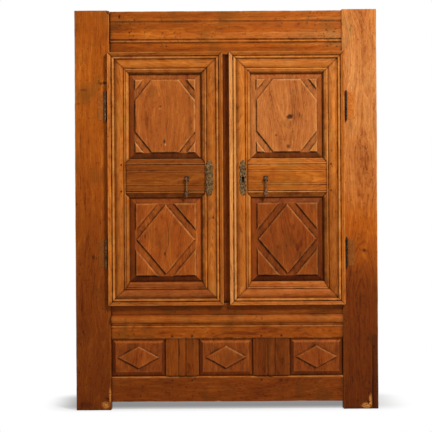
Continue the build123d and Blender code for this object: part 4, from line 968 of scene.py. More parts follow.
# The muntins and base fields are dark, partly painted shade low down at the front.
MUNTIN_TONES = {"left": -0.9, "right": -1.2}
for side, (left, right) in MUNTINS.items():
    wide = right - left
    reed = wide / 2
    outline = [(0, -45), (0, -5), (18, 0), (reed - 21, 0), (reed - 17, -2.8), (reed - 13, 0),
               [(reed, 2.6)], (reed + 13, 0), (reed + 17, -2.8), (reed + 21, 0), (wide - 18, 0),
               (wide, -5), (wide, -45)]
    member("muntin_" + side, moulding(outline, 1.3, 0.55, HIDDEN_BELOW), (left, 0, 0), X, UP,
           (BASE_RAIL[1] + 0.2, SILL[0] - 0.2), "base_muntin_" + side, seed=16 + wide / 50,
           tone=MUNTIN_TONES[side], step=5, loss=0.6, joint_dirt=(4, 5),
           places=[(-216, 263, 2.6, 34, 0.85, 1.6)])

# The base fields' bevels are painted darker at the sides and bottom and paler at the top: painted shade and
# light by the way each faces the light.
for number, (side, (left, right)) in enumerate(BASE_PANELS.items()):
    carved("base_field_" + side, (left, right, BASE_RAIL[1], SILL[0]), -21.75, -14.25, 8.0, 20.0,
           [(rhombus((left + right) / 2, (BASE_RAIL[1] + SILL[0]) / 2, 94.5, 52), 0)], "root",
           "base_panel_" + side, LOW_WOOD, seed=21 + number, tone=-0.6, tools=0.3,
           soil_and_shade=(0.9, 0.65, 0.6, -0.45))

# The middle post stands in the shaded gap between the doors: its dark tone is painted shade, and its bands
# lighten its left half a little and its right half, where the right door's edge casts a shadow, more, as
# painted light.
member("middle_post", oblong(48, THICK, 4, HIDDEN_BELOW), (-24, 0, 0), X, UP, (481, 1599), "centre_post",
       seed=26, tone=-1.42, step=20, fine=[(1044, 1086, 2)], loss=0.3, wave=0.2, reshape=bolt_pocket,
       bands=[(8, 25, 0.5, 0, 0.25), (25, 42, 0.2, 0, 0.7)])


# ---------------------------------------------------------------- doors
STILE_WIDE, BOTTOM_WIDE = 96, 106
MIDDLE_WIDE = MIDDLE[1] - MIDDLE[0]
MITRE_TURN = 80.0      # where a mitre turns off 45 degrees, to meet a wider rail's inner corner
MITRED_FROM = 0.4      # the frame is mitred above this height of its section, and square below it
LOCK_PLACE = (-75.0, 1042.0)
FIELD_MARGIN = 27.0    # width of the slope round a panel's field
OCTAGON_CUT = (74, 94)       # what the upper field's corners lose, across and up
OCTAGON_GAP = 27             # flat band between the octagon and its corner triangles
RHOMBUS_HALF = (132, 158)    # half sizes of the lower field's rhombus
RHOMBUS_GAP = 29             # flat band between the rhombus and its corner triangles
PANEL_BACK, PANEL_FRONT, PANEL_RISE = -7.75, -0.25, 8.0

STILE_OUTLINE = [
    (13, -16), (13, 1), (32.5, 1), (32.5, 16), (34.5, 16), [(53, 23.5)], (71.5, 16), (72.5, 14.5),
    (74, 14.5), (76, 16.5), [(78.5, 17.2)], (81, 16.5), (82, 16), (83, 16), (84.5, 18)]
RIM_OUTLINE = [(0, 1), (0, 22), (2, 24), (15, 19), (17, 16.5), (20, 16.5), [(25, 21)], (30, 16.5),
               (31, 15), (32.5, 15), (32.5, 1)]
MIDDLE_HALF = [(0, -16), (0, 10), (22, 15.5), (24.5, 15.5), (25.5, 13), (28, 13), (29, 16), (51, 16),
               (52, 15), (54, 15.2), [(57, 16.6)], (60, 15.2), (62, 15), (64, 16)]
MIDDLE_OUTLINE = MIDDLE_HALF + [
    [(MIDDLE_WIDE - p[0][0], p[0][1])] if isinstance(p, list) else (MIDDLE_WIDE - p[0], p[1])
    for p in reversed(MIDDLE_HALF)]


def frame_section(width):
    """Section of a door's stile or rail: rebate under the rim, ovolo, bead, fillet and sight slope."""
    outline = STILE_OUTLINE + [(width - 5, 18), (width, 10), (width, -16)]
    return moulding(outline, 1.25, 0.55, 1.5, 8.0)


RIM = moulding(RIM_OUTLINE, 1.2, 0.5, 1.2, 8.0)
MIDDLE_RAIL = moulding(MIDDLE_OUTLINE, 1.25, 0.5, 0.0, 8.0)
# Bands of the door frame. The dark grooves are partly grime and partly painted shade. The shaded set adds
# painted shade on the sight slope and fillet of the right-hand stiles and the top rails, which face away from
# the light; the middle rail's thin pale lines are painted highlights on its arrises, and its lower slope is
# painted shade; the rim's bead is a painted highlight between dark grooves.
FRAME_BANDS = [(32, 35.5, 0.9, 0, -0.1), (36, 44, 0.2, 0, -0.15), (71, 74, 0.8, 0, -0.1),
               (81.5, 84, 0.55, 0, 0)]
SHADE_PAINTED_BANDS = FRAME_BANDS + [(84.5, 106, 0.7, 0, -0.35)]
MIDDLE_BANDS = [(21, 24, 0, 0.8, 0.2), (25.5, 28.5, 0.9, 0, -0.2), (144.5, 148, 0.5, 0, -0.1),
                (148.5, 151.5, 0, 0.8, 0.2), (153, 173, 0.75, 0, -0.35), (51, 54, 0.3, 0, 0),
                (119, 123, 0.45, 0, 0)]
RIM_BANDS = [(15.5, 20, 0.7, 0, -0.1), (23, 27, 0, 0.5, 0.1), (30.5, 32.5, 0.7, 0, 0)]
SHOULDER_CUTS = [(955, 976, 1.5), (1111, 1132, 1.5)]
PLATE_CUTS = [(1016, 1054, 1.4)]


def mitre(u, slope=1.0):
    """Distance in from the door's edge of a mitre: equal to u, then at another slope past its turn."""
    return np.where(u < MITRE_TURN, u, MITRE_TURN + (u - MITRE_TURN) * slope)


BOTTOM_SLOPE = (BOTTOM_WIDE - MITRE_TURN) / (STILE_WIDE - MITRE_TURN)


def stile_ends(u, h):
    """A stile runs through behind and is mitred in front."""
    behind = h < MITRED_FROM
    low = DOOR["bottom"] + np.where(behind, 13, mitre(u, BOTTOM_SLOPE))
    return low, DOOR["top"] - np.where(behind, 13, mitre(u))


def rail_ends(slope):
    """A rail stops at the stiles behind and is mitred in front."""
    def ends(u, h):
        inset = np.where(h < MITRED_FROM, STILE_WIDE, mitre(u, slope))
        return DOOR["outer"] + inset, DOOR["inner"] - inset
    return ends


def cope(u):
    """How far the middle rail's shoulders run over the stiles, u below its top edge."""
    return np.minimum(16, np.minimum(u, MIDDLE_WIDE - u)).clip(0)


def middle_ends(u, h):
    """The middle rail stops at the stiles behind and runs over their slopes in front."""
    over = np.where(h < MITRED_FROM, 0, cope(u))
    return SIGHT["left"] - over, SIGHT["right"] + over


def stile_shape(meeting, keyhole):
    """What is cut out of a stile: room for the middle rail's shoulders, the plate and the keyhole."""
    def shape(u, h, t):
        under = u > STILE_WIDE - cope(MIDDLE[1] - t) + 0.6
        h = np.where(under & (h > 0), np.minimum(h, 5.0), h)
        across, up = u - (DOOR["inner"] - LOCK_PLACE[0]), t - LOCK_PLACE[1]
        if meeting:
            seat = (np.abs(across) < 16) & (np.abs(up) < 79)
            h = np.where(seat, np.minimum(h, 21.7), h)
        if keyhole:
            hole = (np.hypot(across, up) < 7.4) | ((np.abs(across) < 4.8) & (up < 0) & (up > -21))
            h = np.where(hole & (h > 0), -8.0, h)
        return u, h
    return shape


# Tones, and the marks, cracks and board joints, of each door. The tones are partly painted light and
# shade: darker low down, paler on the right door's upper parts, and pale on the right door's inner
# rim strip as a painted highlight. The places are on the left door's side; the right door's are
# mirrored with it.
LOOKS = {
    "left": {
        "seed": 40, "upper": -0.12, "lower": -0.32,
        "hinge_stile": [(471, -0.5), (850, -0.3), (1150, -0.05), (1609, 0.0)], "meeting_stile": -0.12,
        "top_rail": 0.0, "middle_rail": -0.95, "bottom_rail": -0.62, "rim": (0.0, -0.2, -0.45, -0.4),
        "upper_joint": -265.0, "lower_joint": None,
        "upper_places": [
            (-331, 1430, 22, 26, 0.30, 0.1), (-294, 1364, 7, 5, 0.55, 0.9), (-296, 1356, 4, 5, -0.6, 0.3),
            (-277, 1207, 5, 10, 0.95, 0.8), (-272, 1194, 5, 6, -0.8, 0.5), (-290, 1190, 3, 9, 0.6, 0.2),
            (-232, 1246, 4, 4, 0.6, 0.2), (-364, 1362, 3, 4, 0.5, 0.2)],
        "upper_cracks": [([(-265, 1486), (-264, 1330), (-266, 1157)], 0.9, 0.40, 0.4)],
        "lower_places": [(-277, 704, 5, 10, 0.7, 0.5), (-366, 782, 4, 9, 0.6, 0.3),
                         (-318, 812, 8, 3, 0.4, 0.2), (-398, 640, 10, 14, 0.3, 0.1)],
        "lower_cracks": [([(-268, 852), (-259, 790), (-262, 745), (-276, 704), (-278, 660)],
                          1.3, 0.8, 0.9),
                         ([(-362, 800), (-366, 770)], 1.2, 0.6, 0.4)],
        "meeting_stile_places": [(-68, 863, 13, 2.6, 0.9, 0.8), (-58, 870, 3, 8, 0.8, 0.5),
                                 (-78, 889, 8, 12, -0.25, 0)],
        "hinge_stile_places": [(-492, 1130, 4, 4, 0.6, 0.3), (-470, 1250, 3, 20, 0.4, 0.1),
                               (-497, 673, 8, 26, 0.5, 0.1)]},
    "right": {
        "seed": 70, "upper": 0.25, "lower": -0.62,
        "hinge_stile": [(471, -0.7), (850, -0.45), (1150, 0.1), (1609, 0.3)],
        "meeting_stile": [(471, -0.2), (1000, 0.0), (1609, 0.05)],
        "top_rail": 0.12, "middle_rail": -0.16, "bottom_rail": -0.12, "rim": (0.0, 0.75, -0.30, -0.2),
        "upper_joint": None, "lower_joint": None,
        "upper_places": [
            (-287, 1316, 13, 10, 1.0, 3.0), (-292, 1313, 24, 18, 0.28, 0.3), (-293, 1302, 7, 4, -0.8, 0.4),
            (-276, 1322, 5, 4, -0.5, 0.2), (-322, 1326, 8, 17, 0.30, 0.2), (-331, 1322, 2.5, 13, 0.75, 0.3),
            (-225, 1233, 6, 5, 0.7, 0.3), (-300, 1248, 4, 4, 0.7, 0.3), (-279, 1182, 7, 9, 0.8, 1.0),
            (-286, 1166, 5, 6, -0.9, 0.4), (-298, 1205, 3, 12, -0.4, 0.2), (-250, 1214, 8, 3, 0.4, 0.2)],
        "upper_cracks": [([(-262, 1420), (-264, 1330)], 0.8, 0.3, 0.3)],
        "lower_places": [(-300, 820, 10, 14, 0.35, 0.1), (-230, 730, 8, 8, 0.4, 0.2),
                         (-330, 700, 5, 12, 0.4, 0.2)],
        "lower_cracks": [([(-250, 870), (-246, 800), (-252, 742)], 1.0, 0.4, 0.4)],
        # The two marks at the keyhole are a black stain on the stile behind it: painted shade in the hole.
        "meeting_stile_places": [(-75, 1042, 11, 11, 1.0, 0.0), (-75, 1028, 7, 12, 1.0, 0.0)],
        "hinge_stile_places": [(-490, 1240, 3, 14, 0.5, 0.2)]}}


def field_corners(sight, legs, bulges):
    """Triangles in a field's four corners, their legs along its edges, as figures."""
    left, right, bottom, top = np.array(sight) + np.array([1, -1, 1, -1]) * FIELD_MARGIN
    corners = [(x, a, z, b) for x, a in ((left, -1), (right, 1)) for z, b in ((bottom, -1), (top, 1))]
    return [([(x, z), (x - a * legs[0], z), (x, z - b * legs[1])], bulge)
            for (x, a, z, b), bulge in zip(corners, bulges)]


def octagon_figures(sight):
    """A field with its corners cut off, and the corners as triangles beyond a flat band.

    The band takes the same share off both legs: its width over the cut's height as a triangle,
    which is the product of the legs over the length of the slope.
    """
    left, right, bottom, top = np.array(sight) + np.array([1, -1, 1, -1]) * FIELD_MARGIN
    wide, tall = OCTAGON_CUT
    octagon = [(left, bottom + tall), (left, top - tall), (left + wide, top), (right - wide, top),
               (right, top - tall), (right, bottom + tall), (right - wide, bottom), (left + wide, bottom)]
    share = 1 - OCTAGON_GAP * math.hypot(wide, tall) / (wide * tall)
    return [(octagon, 0)] + field_corners(sight, (wide * share, tall * share), (1.0, 1.0, 1.0, 3.0))


def rhombus_figures(sight):
    """A rhombus in the middle of a field, and the field's corners as triangles beyond a flat band.

    The triangles' slopes lie on a larger rhombus, where |x| / half width + |z| / half height is 1
    plus the band's width times the length of (1 / half width, 1 / half height).
    """
    left, right, bottom, top = sight
    wide, tall = RHOMBUS_HALF
    half_x, half_z = (right - left) / 2 - FIELD_MARGIN, (top - bottom) / 2 - FIELD_MARGIN
    line = 1 + RHOMBUS_GAP * math.hypot(1 / wide, 1 / tall)
    legs = (half_x - wide * (line - half_z / tall), half_z - tall * (line - half_x / wide))
    return [(rhombus((left + right) / 2, (bottom + top) / 2, wide, tall), 0)] + field_corners(
        sight, legs, (0.8,) * 4)


def door(side):
    """One door: two stiles, three rails, four mitred rim strips and two carved panels."""
    flip = side == "right"
    look = LOOKS[side]
    body = side + "_door"
    span_x, span_z = (DOOR["outer"], DOOR["inner"]), (DOOR["bottom"], DOOR["top"])

    def wooden(part, section, origin, across, along, ends, tone, node=None, finish=DOOR_WOOD, **more):
        """A part of this door's frame; it replaces the node of its own name if none is given."""
        carried(f"{side}_{part}", section, origin, across, AHEAD, along, ends, body,
                f"{side}_{node or part}", "door_wood", finish, seed=look["seed"] + sum(map(ord, part)) % 23,
                tone=tone, mirrored=flip, loss=0.55, chips=0.85, step=8, **more)

    for part, edge, inward, meeting in (("hinge_stile", span_x[0], X, False),
                                        ("meeting_stile", span_x[1], -X, True)):
        wooden(part, frame_section(STILE_WIDE), (edge, 0, 0), inward, UP, stile_ends, look[part],
               fine=SHOULDER_CUTS + PLATE_CUTS * meeting, reshape=stile_shape(meeting, meeting and flip),
               joint_dirt=(2.2, 2.2), places=look[part + "_places"],
               bands=SHADE_PAINTED_BANDS if meeting != flip else FRAME_BANDS)
    wooden("top_rail", frame_section(STILE_WIDE), (0, 0, span_z[1]), -UP, X, rail_ends(1.0),
           look["top_rail"], joint_dirt=(2.2, 2.2), bands=SHADE_PAINTED_BANDS)
    wooden("bottom_rail", frame_section(BOTTOM_WIDE), (0, 0, span_z[0]), UP, X,
           rail_ends(1 / BOTTOM_SLOPE), look["bottom_rail"], finish=LOW_WOOD, joint_dirt=(2.2, 2.2),
           bands=FRAME_BANDS)
    wooden("middle_rail", MIDDLE_RAIL, (0, 0, MIDDLE[1]), -UP, X, middle_ends, look["middle_rail"],
           joint_dirt=(2.5, 2.5), bands=MIDDLE_BANDS)
    near_joint = [(span_z[0], span_z[0] + 12, 3), (span_z[1] - 12, span_z[1], 3)]
    for part, origin, across, along, span, fine, tone in zip(
            ("rim_outer", "rim_inner", "rim_top", "rim_bottom"),
            ((span_x[0], 0, 0), (span_x[1], 0, 0), (0, 0, span_z[1]), (0, 0, span_z[0])),
            (X, -X, -UP, UP), (UP, UP, X, X), (span_z, span_z, span_x, span_x),
            (near_joint, near_joint, (), ()), look["rim"]):
        wooden(part, RIM, origin, across, along, lambda u, h, s=span: (s[0] + u, s[1] - u), tone,
               node="rim_moulding", joint_dirt=(1.8, 1.8), fine=fine, bands=RIM_BANDS)
    for place, low, high, figures, finish, number in (
            ("upper", MIDDLE[1], SIGHT["top"], octagon_figures, PANEL_WOOD, 31),
            ("lower", SIGHT["bottom"], MIDDLE[0], rhombus_figures, LOW_WOOD, 33)):
        sight = (SIGHT["left"], SIGHT["right"], low, high)
        carved(f"{side}_{place}_field", sight, PANEL_BACK, PANEL_FRONT, PANEL_RISE, FIELD_MARGIN,
               figures(sight), body, f"{side}_{place}_panel", finish,
               seed=look["seed"] + number, tone=look[place], mirrored=flip, step=1.6,
               places=look[place + "_places"], cracks=look[place + "_cracks"],
               joint=look[place + "_joint"])


door("left")
door("right")


# ---------------------------------------------------------------- ironwork
# Places are the left door's; the right door's iron is mirrored from them.
PLATE_HALF = 79.6
PULL_PLACE = (-177.3, 27.0, 1038.0)
PULL_DROP = 85
PIN_LINE = (-541.0, 6.0)
HINGES = {"upper": 1365.0, "lower": 704.0}
BARREL_SIXTH = 124.0 / 6     # half of one knuckle's share: the barrel has three knuckles
# Tones of the leaves and of the barrel: the leaves follow the tone of the wood round them, and the
# left barrels are paler and the right ones darker; both are partly painted light and shade.
HINGE_TONES = {"left": {"upper": (-0.35, 0.5), "lower": (-0.95, 0.1)},
               "right": {"upper": (0.25, -1.6), "lower": (-0.85, -1.6)}}


def circle(axis, angle):
    """Unit vectors at right angles to an axis, at each angle round it."""
    first = np.roll(axis, 1)
    return np.cos(angle)[:, None] * first + np.sin(angle)[:, None] * np.cross(axis, first)


def turned_round(profile, centre, axis, around):
    """Shape turned on a lathe: (radius, distance along the axis) swept round it, closed at both tips."""
    profile, centre = np.asarray(profile, float), np.asarray(centre, float)
    ring = circle(axis, np.arange(around) * 2 * math.pi / around)
    spots = centre + profile[:, :1, None] * ring[None] + profile[:, 1:, None] * axis
    tips = [centre + profile[k, 1] * axis for k in (0, -1)]
    return np.concatenate([spots.reshape(-1, 3), tips]), tube_faces(len(profile), around)


def ring_round(section, centre, axis, around=32):
    """Closed ring: an outline of (radius, distance along the axis) swept once round the axis."""
    section = np.asarray(section, float)
    ring = circle(axis, np.arange(around) * 2 * math.pi / around)
    spots = np.asarray(centre, float) + section[None, :, :1] * ring[:, None] + section[None, :, 1:] * axis
    faces = tube_faces(around + 1, len(section), ends=False)
    return spots.reshape(-1, 3), [faces[0] % (around * len(section))]


def dome(place, radius, height, seed):
    """Head of a forged nail: a cosine dome, its rim pushed in and out a little, with a flat base."""
    share = np.linspace(1.0, 0.0, 6)
    over = [(radius * s, height * math.cos(s * math.pi / 2) ** 0.8) for s in share]
    spots, faces = turned_round([(radius * 0.8, -1.0)] + over, place, AHEAD, 14)
    off = spots - np.asarray(place, float)
    bent = 1 + 0.14 * drift(off[:, 0], off[:, 1], off[:, 2], (2.6, 2.6, 2.6), seed)[:, None]
    level = (off @ AHEAD)[:, None] * AHEAD
    return np.asarray(place, float) + level + (off - level) * bent, faces


def iron_plate(x, z, front, back, keep=None):
    """Plate over a grid of (x, z): a front sheet, a back sheet and a wall at every edge of what is kept."""
    rows, columns = x.shape
    count = rows * columns
    sheets = [np.stack([x, level + 0 * x, z], -1).reshape(-1, 3) for level in (front, back)]
    quads = sheet_faces(rows, columns)
    if keep is not None:
        quads = quads[keep.ravel()]
    begin, end = quads.ravel(), np.roll(quads, -1, 1).ravel()
    lone = ~np.isin(begin * count + end, end * count + begin)
    begin, end = begin[lone], end[lone]
    walls = np.stack([end, begin, begin + count, end + count], -1)
    return np.concatenate(sheets), [np.concatenate([quads, quads[:, ::-1] + count, walls])]


def iron_piece(name, parts, body, node, finish, mirrored, wear_and_highlight, dirt_and_shade, tone=0.0, span=(0, 1)):
    """One object of several closed parts, each turned so that its faces point outwards.

    Wear grows towards the front and dirt towards the back, over the share of the depth in span: the
    wear is partly a painted highlight on the parts that stand furthest out, and the dirt partly
    painted shade at the sides and back.
    """
    spots, faces, start = [], [], 0
    for dots, lists in parts:
        dots = dots * ([-1, 1, 1] if mirrored else 1)
        faces += [part + start for part in turned_outward(dots * [1, -1, 1], lists)]
        spots.append(dots)
        start += len(dots)
    spots = np.concatenate(spots)
    low, high = spots[:, 1].min(), spots[:, 1].max()
    height = ((spots[:, 1] - low) / max(high - low, 0.1) - span[0]) / (span[1] - span[0])
    height = np.clip(height, 0, 1)
    marks = {"wear_and_highlight": wear_and_highlight * height, "dirt_and_shade": dirt_and_shade * (1 - height), "tone": np.full(len(spots), tone)}
    make_piece(name, spots, faces, body, node, finish, marks)


PLATE_EDGE = sampled([(0, 80), [(9, 75)], (11, 62), [(17, 48)], (12, 34), [(17, 17)], (13, 0), (0, 0)], 1.0)
PLATE_EDGE = PLATE_EDGE[:np.argmin(np.abs(PLATE_EDGE[:, 1]) + (PLATE_EDGE[:, 0] < 12.5) * 99) + 1]


def cut_keyhole(x, z):
    """A plate's grid with a keyhole, round over a slot, and which of its quads stay.

    The outline is where the lesser of the distances from the round and from the slot is 0. Points
    that are nearer to it than snap move straight onto it, and quads with a point inside are left out.
    """
    bore, slot_half, slot_middle, slot_reach, snap = 6.5, 4.0, -10, 10, 0.62
    across, down = np.abs(x) - slot_half, np.abs(z - slot_middle) - slot_reach
    slot = np.where((across > 0) & (down > 0), np.hypot(across, down), np.maximum(across, down))
    from_middle = np.hypot(x, z)
    ball = from_middle - bore
    in_slot = slot < ball
    far = np.where(in_slot, slot, ball)
    side_on = across > down
    push_x = np.where(in_slot, np.where(side_on, np.sign(x), 0), x / (from_middle + 1e-9))
    push_z = np.where(in_slot, np.where(side_on, 0, np.sign(z - slot_middle)), z / (from_middle + 1e-9))
    near, outside = np.abs(far) < snap, far > -snap
    keep = outside[:-1, :-1] & outside[1:, :-1] & outside[:-1, 1:] & outside[1:, 1:]
    return np.where(near, x - far * push_x, x), np.where(near, z - far * push_z, z), keep


def escutcheon(side):
    """Long wavy-edged plate: its half width is a function of height, its face a shallow dome.

    x = v x half width(z) for v from -1 to 1. The front is 22 + 2.2 (1 - |v|^5)^0.6, lower towards
    the ends, and a hammered noise. The right plate has the keyhole.
    """
    v, z = np.meshgrid(np.linspace(-1, 1, 33), np.linspace(-PLATE_HALF, PLATE_HALF, 140))
    half = np.interp(np.abs(z), PLATE_EDGE[::-1, 1], PLATE_EDGE[::-1, 0])
    seed = 5.0 if side == "left" else 8.0
    half = half + 0.8 * drift(np.sign(v) * 9, z, 0 * z, (1, 9, 1), seed)
    x = v * half
    end = np.clip(1 - ((np.abs(z) - 72) / 8).clip(0) ** 2, 0, 1)
    front = 22 + 2.2 * (1 - np.abs(v) ** 5).clip(0) ** 0.6 * (0.45 + 0.55 * end)
    front = front + 0.40 * drift(x, z, 0 * z, (6, 6, 1), seed)
    front = front + 0.22 * drift(x, z, 0 * z, (2.6, 2.6, 1), seed)
    keep = None
    if side == "right":
        x, z, keep = cut_keyhole(x, z)
    parts = [iron_plate(LOCK_PLACE[0] + x, LOCK_PLACE[1] + z, front, 21.8, keep)]
    parts += [dome((LOCK_PLACE[0] + a, 23.6, LOCK_PLACE[1] + b), 3.0, 1.9, seed=seed + b)
              for a, b in ((0, 70), (0, -70), (9.5, 47), (-9.5, 48), (9.5, -48), (-9.5, -47))]
    iron_piece(side + "_plate", parts, side + "_door", side + "_escutcheon", PLATE_IRON,
               side == "right", 0.5, 0.6)


def pull(side):
    """Hanging pull: rings of an ellipse that swells into a pointed leaf, under a forged eye."""
    around = 20
    x, ahead, z = PULL_PLACE
    tip = z - PULL_DROP
    up = np.concatenate([np.linspace(0, 10, 12)[:-1], np.linspace(10, 80, 46)])
    wide = np.interp(up, [0, 2, 4, 6.5, 9.5, 14, 18, 23, 30, 38, 46, 56, 80],
                     [0.8, 2.9, 3.6, 2.8, 4.6, 9.2, 10.2, 8.6, 5.4, 3.6, 3.0, 2.9, 3.2])
    wide = blurred_line(wide, up, 1.2)
    thick = np.interp(up, [0, 3, 6, 17, 30, 40, 50, 80], [0.9, 2.2, 1.4, 2.5, 2.2, 2.5, 2.6, 2.5])
    for bead, grow in ((44.5, 1.9), (49.5, 1.2), (74.0, 1.3)):
        swell = grow * np.exp(-((up - bead) / 1.8) ** 2)
        wide, thick = wide + swell, thick + swell
    angle = np.arange(around) * 2 * math.pi / around
    dots = np.stack([x + wide[:, None] * np.cos(angle), ahead + thick[:, None] * np.sin(angle),
                     tip + up[:, None] + 0 * angle], -1)
    dots[..., 1] += 0.25 * drift(dots[..., 0], dots[..., 2], 0 * dots[..., 0], (4, 5, 1), 3)
    blade = np.concatenate([dots.reshape(-1, 3), [[x, ahead, tip - 0.1], [x, ahead, tip + 80]]])
    eye = [(3.3, -2.6), (4.0, -3.4), (7.4, -3.4), (8.5, -2.0), (8.5, 2.0), (7.4, 3.4), (4.0, 3.4), (3.3, 2.6)]
    iron_piece(side + "_pull", [(blade, tube_faces(len(up), around)), ring_round(eye, PULL_PLACE, X)],
               side + "_pull", side + "_pull_drop", PULL_IRON, side == "right", 1.0, 1.0, -0.15, (0.50, 0.67))


def staple(side):
    """Plate with two ears and the pin between them: an eased plate, two discs on necks, a lathe pin."""
    x, ahead, z = PULL_PLACE
    a, b = np.meshgrid(np.linspace(-1, 1, 17), np.linspace(-1, 1, 19))
    pinch = 1 - 0.12 * np.cos(b * math.pi) * (np.abs(b) < 0.99)
    front = 16 + 2.1 * ((1 - a ** 6) * (1 - b ** 6)).clip(0) ** 0.5
    parts = [iron_plate(x + a * 10.2 * pinch, z + b * (13 - 1.6 * a ** 2), front, 15.8)]
    parts += [dome((x, 17.8, z + way * 10), 2.2, 1.3, seed=way + 4.0) for way in (-1, 1)]
    disc = [(0.5, -1.75), (5.0, -1.75), (5.9, -1.0), (5.9, 1.0), (5.0, 1.75), (0.5, 1.75)]
    neck = np.array([(-5.4, 17.0), (-5.8, 27.0), (5.8, 27.0), (5.4, 17.0)])
    for middle in (x - 5.65, x + 5.65):
        parts.append(turned_round(disc, (middle, ahead, z), X, 24))
        sheet = np.stack([0 * neck[:, 0] + middle, neck[:, 1], neck[:, 0] + z], -1)
        sheet = sheet + np.array([-1.0, 1.0])[:, None, None] * X * 1.75
        parts.append((np.concatenate([sheet.reshape(-1, 3), sheet.mean(1)]), tube_faces(2, 4)))
    parts.append(turned_round([(1.6, -8.6), (2.9, -7.8), (2.9, 7.8), (1.6, 8.6)], PULL_PLACE, X, 16))
    iron_piece(side + "_staple", parts, side + "_door", side + "_pull_staple", PULL_IRON, side == "right",
               0.8, 1.0, -0.5, (0.1, 1))


def knuckle(height, low, high):
    """Barrel of a hinge between two heights: a ring whose ends are eased and whose side is uneven."""
    low, high = height + low, height + high
    rows = np.linspace(low + 0.9, high - 0.9, max(4, int((high - low) / 5)))
    side = [(5.45 + 0.12 * math.sin(r * 0.9) * math.cos(r * 0.37), r) for r in rows]
    section = [(4.6, low)] + side + [(4.6, high), (3.05, high), (3.05, low)]
    return ring_round(section, (*PIN_LINE, 0), UP, 24)


def leaf(span_x, span_ahead, height):
    """Leaf of a hinge: a plate with eased edges, a little wavy at the side away from the barrel."""
    a, b = np.meshgrid(np.linspace(0, 1, 15), np.linspace(-1, 1, 49))
    ragged = 0.9 * drift(0 * b, b * 60, 0 * b, (1, 13, 1), height) * (a < 0.02)
    x = span_x[0] + (span_x[1] - span_x[0]) * a + ragged
    z = height + b * 61.5 * (1 - 0.02 * (1 - a) ** 4)
    fall = (1 - (2 * np.minimum(a, 0.5) - 1) ** 10) * (1 - b ** 16)
    front = span_ahead[1] - 0.9 * (1 - fall.clip(0)) + 0.15 * drift(x, z, 0 * x, (7, 7, 1), height)
    return iron_plate(x, z, front, span_ahead[0] + 0 * x)


PIN_HALF = [(0.3, 71.0), (1.9, 70.2), (2.7, 68.6), (2.6, 67.0), (1.7, 65.9), (2.4, 65.2), (4.6, 64.7),
            (5.4, 64.0), (5.4, 62.6), (4.8, 62.1), (2.9, 61.9)]


def hinges(side):
    """Both hinges of a door: leaves with their knuckles, and pins with turned ends."""
    flip, door_body, door_node = side == "right", side + "_door", side + "_hinge_leaves"
    ends = ((-3 * BARREL_SIXTH, -BARREL_SIXTH - 0.3), (BARREL_SIXTH + 0.3, 3 * BARREL_SIXTH))
    profile = [(r, -t) for r, t in PIN_HALF] + [(r, t) for r, t in PIN_HALF[::-1]]
    for label, height in HINGES.items():
        leaf_tone, barrel_tone = HINGE_TONES[side][label]
        nails = [dome((-564, 0.7, height + up), 3.2, 1.7, seed=height + up) for up in (-46, 2, 47)]
        for part, solids, body, node, finish, wear_and_highlight, dirt_and_shade, tone in (
                ("post_leaf", [leaf((-576.5, -544.5), (-1.0, 1.0), height)] + nails,
                 "root", "hinge_post_leaves", LEAF_IRON, 0.3, 0.0, leaf_tone),
                ("post_knuckles", [knuckle(height, *end) for end in ends],
                 "root", "hinge_post_leaves", IRON, 0.5, 0.5, barrel_tone),
                ("door_leaf", [leaf((-503.0, -537.5), (1.0, 2.6), height)],
                 door_body, door_node, LEAF_IRON, 0.3, 0.0, leaf_tone),
                ("door_knuckle", [knuckle(height, -BARREL_SIXTH, BARREL_SIXTH)],
                 door_body, door_node, IRON, 0.5, 0.5, barrel_tone),
                ("pin", [turned_round(profile, (*PIN_LINE, height), UP, 24)],
                 "root", "hinge_pins", IRON, 0.5, 0.3, barrel_tone)):
            iron_piece(f"{side}_{label}_{part}", solids, body, node, finish, flip, wear_and_highlight, dirt_and_shade, tone)


for side in ("left", "right"):
    escutcheon(side)
    pull(side)
    staple(side)
    hinges(side)


# ---------------------------------------------------------------- the case behind the face frame
SIDE_RAILS = (BASE_RAIL, SILL, (985.0, 1095.0), (1650.0, 1776.0))
SIDE_GAPS = [(lower[1], upper[0]) for lower, upper in zip(SIDE_RAILS, SIDE_RAILS[1:])]
SHELVES = {"lower": 760.0, "middle": 1040.0, "upper": 1320.0}
BACK_RAILS = {"lower": (321, 421), "upper": (1686, 1776)}
FLAT_BOARD, FLAT_PITCH = 103.6, 104.2    # width and spacing of the top boards and floor boards


def board(name, origin, across, out, along, size, node, seed, tone=-0.2, ends=None, **more):
    """Plain sawn board of (width, thickness, length) with eased, worn edges; ends replace its length."""
    wide, thick, long = size
    carried(name, oblong(wide, thick, 7.0), origin, across, out, along, ends or straight(0.2, long - 0.2),
            "root", node, "case_wood", CASE_WOOD, seed=seed, tone=tone,
            **{"step": 14, "loss": 0.6, "chips": 0.8, "wave": 0.4, "joint_dirt": (6, 6), **more})


def shelf_ends(u, h):
    """A shelf stops at the side panels, and at the rear posts in its last 45 mm."""
    half = np.where(u > 356.4, 569.6, 643.5)
    return -half, half


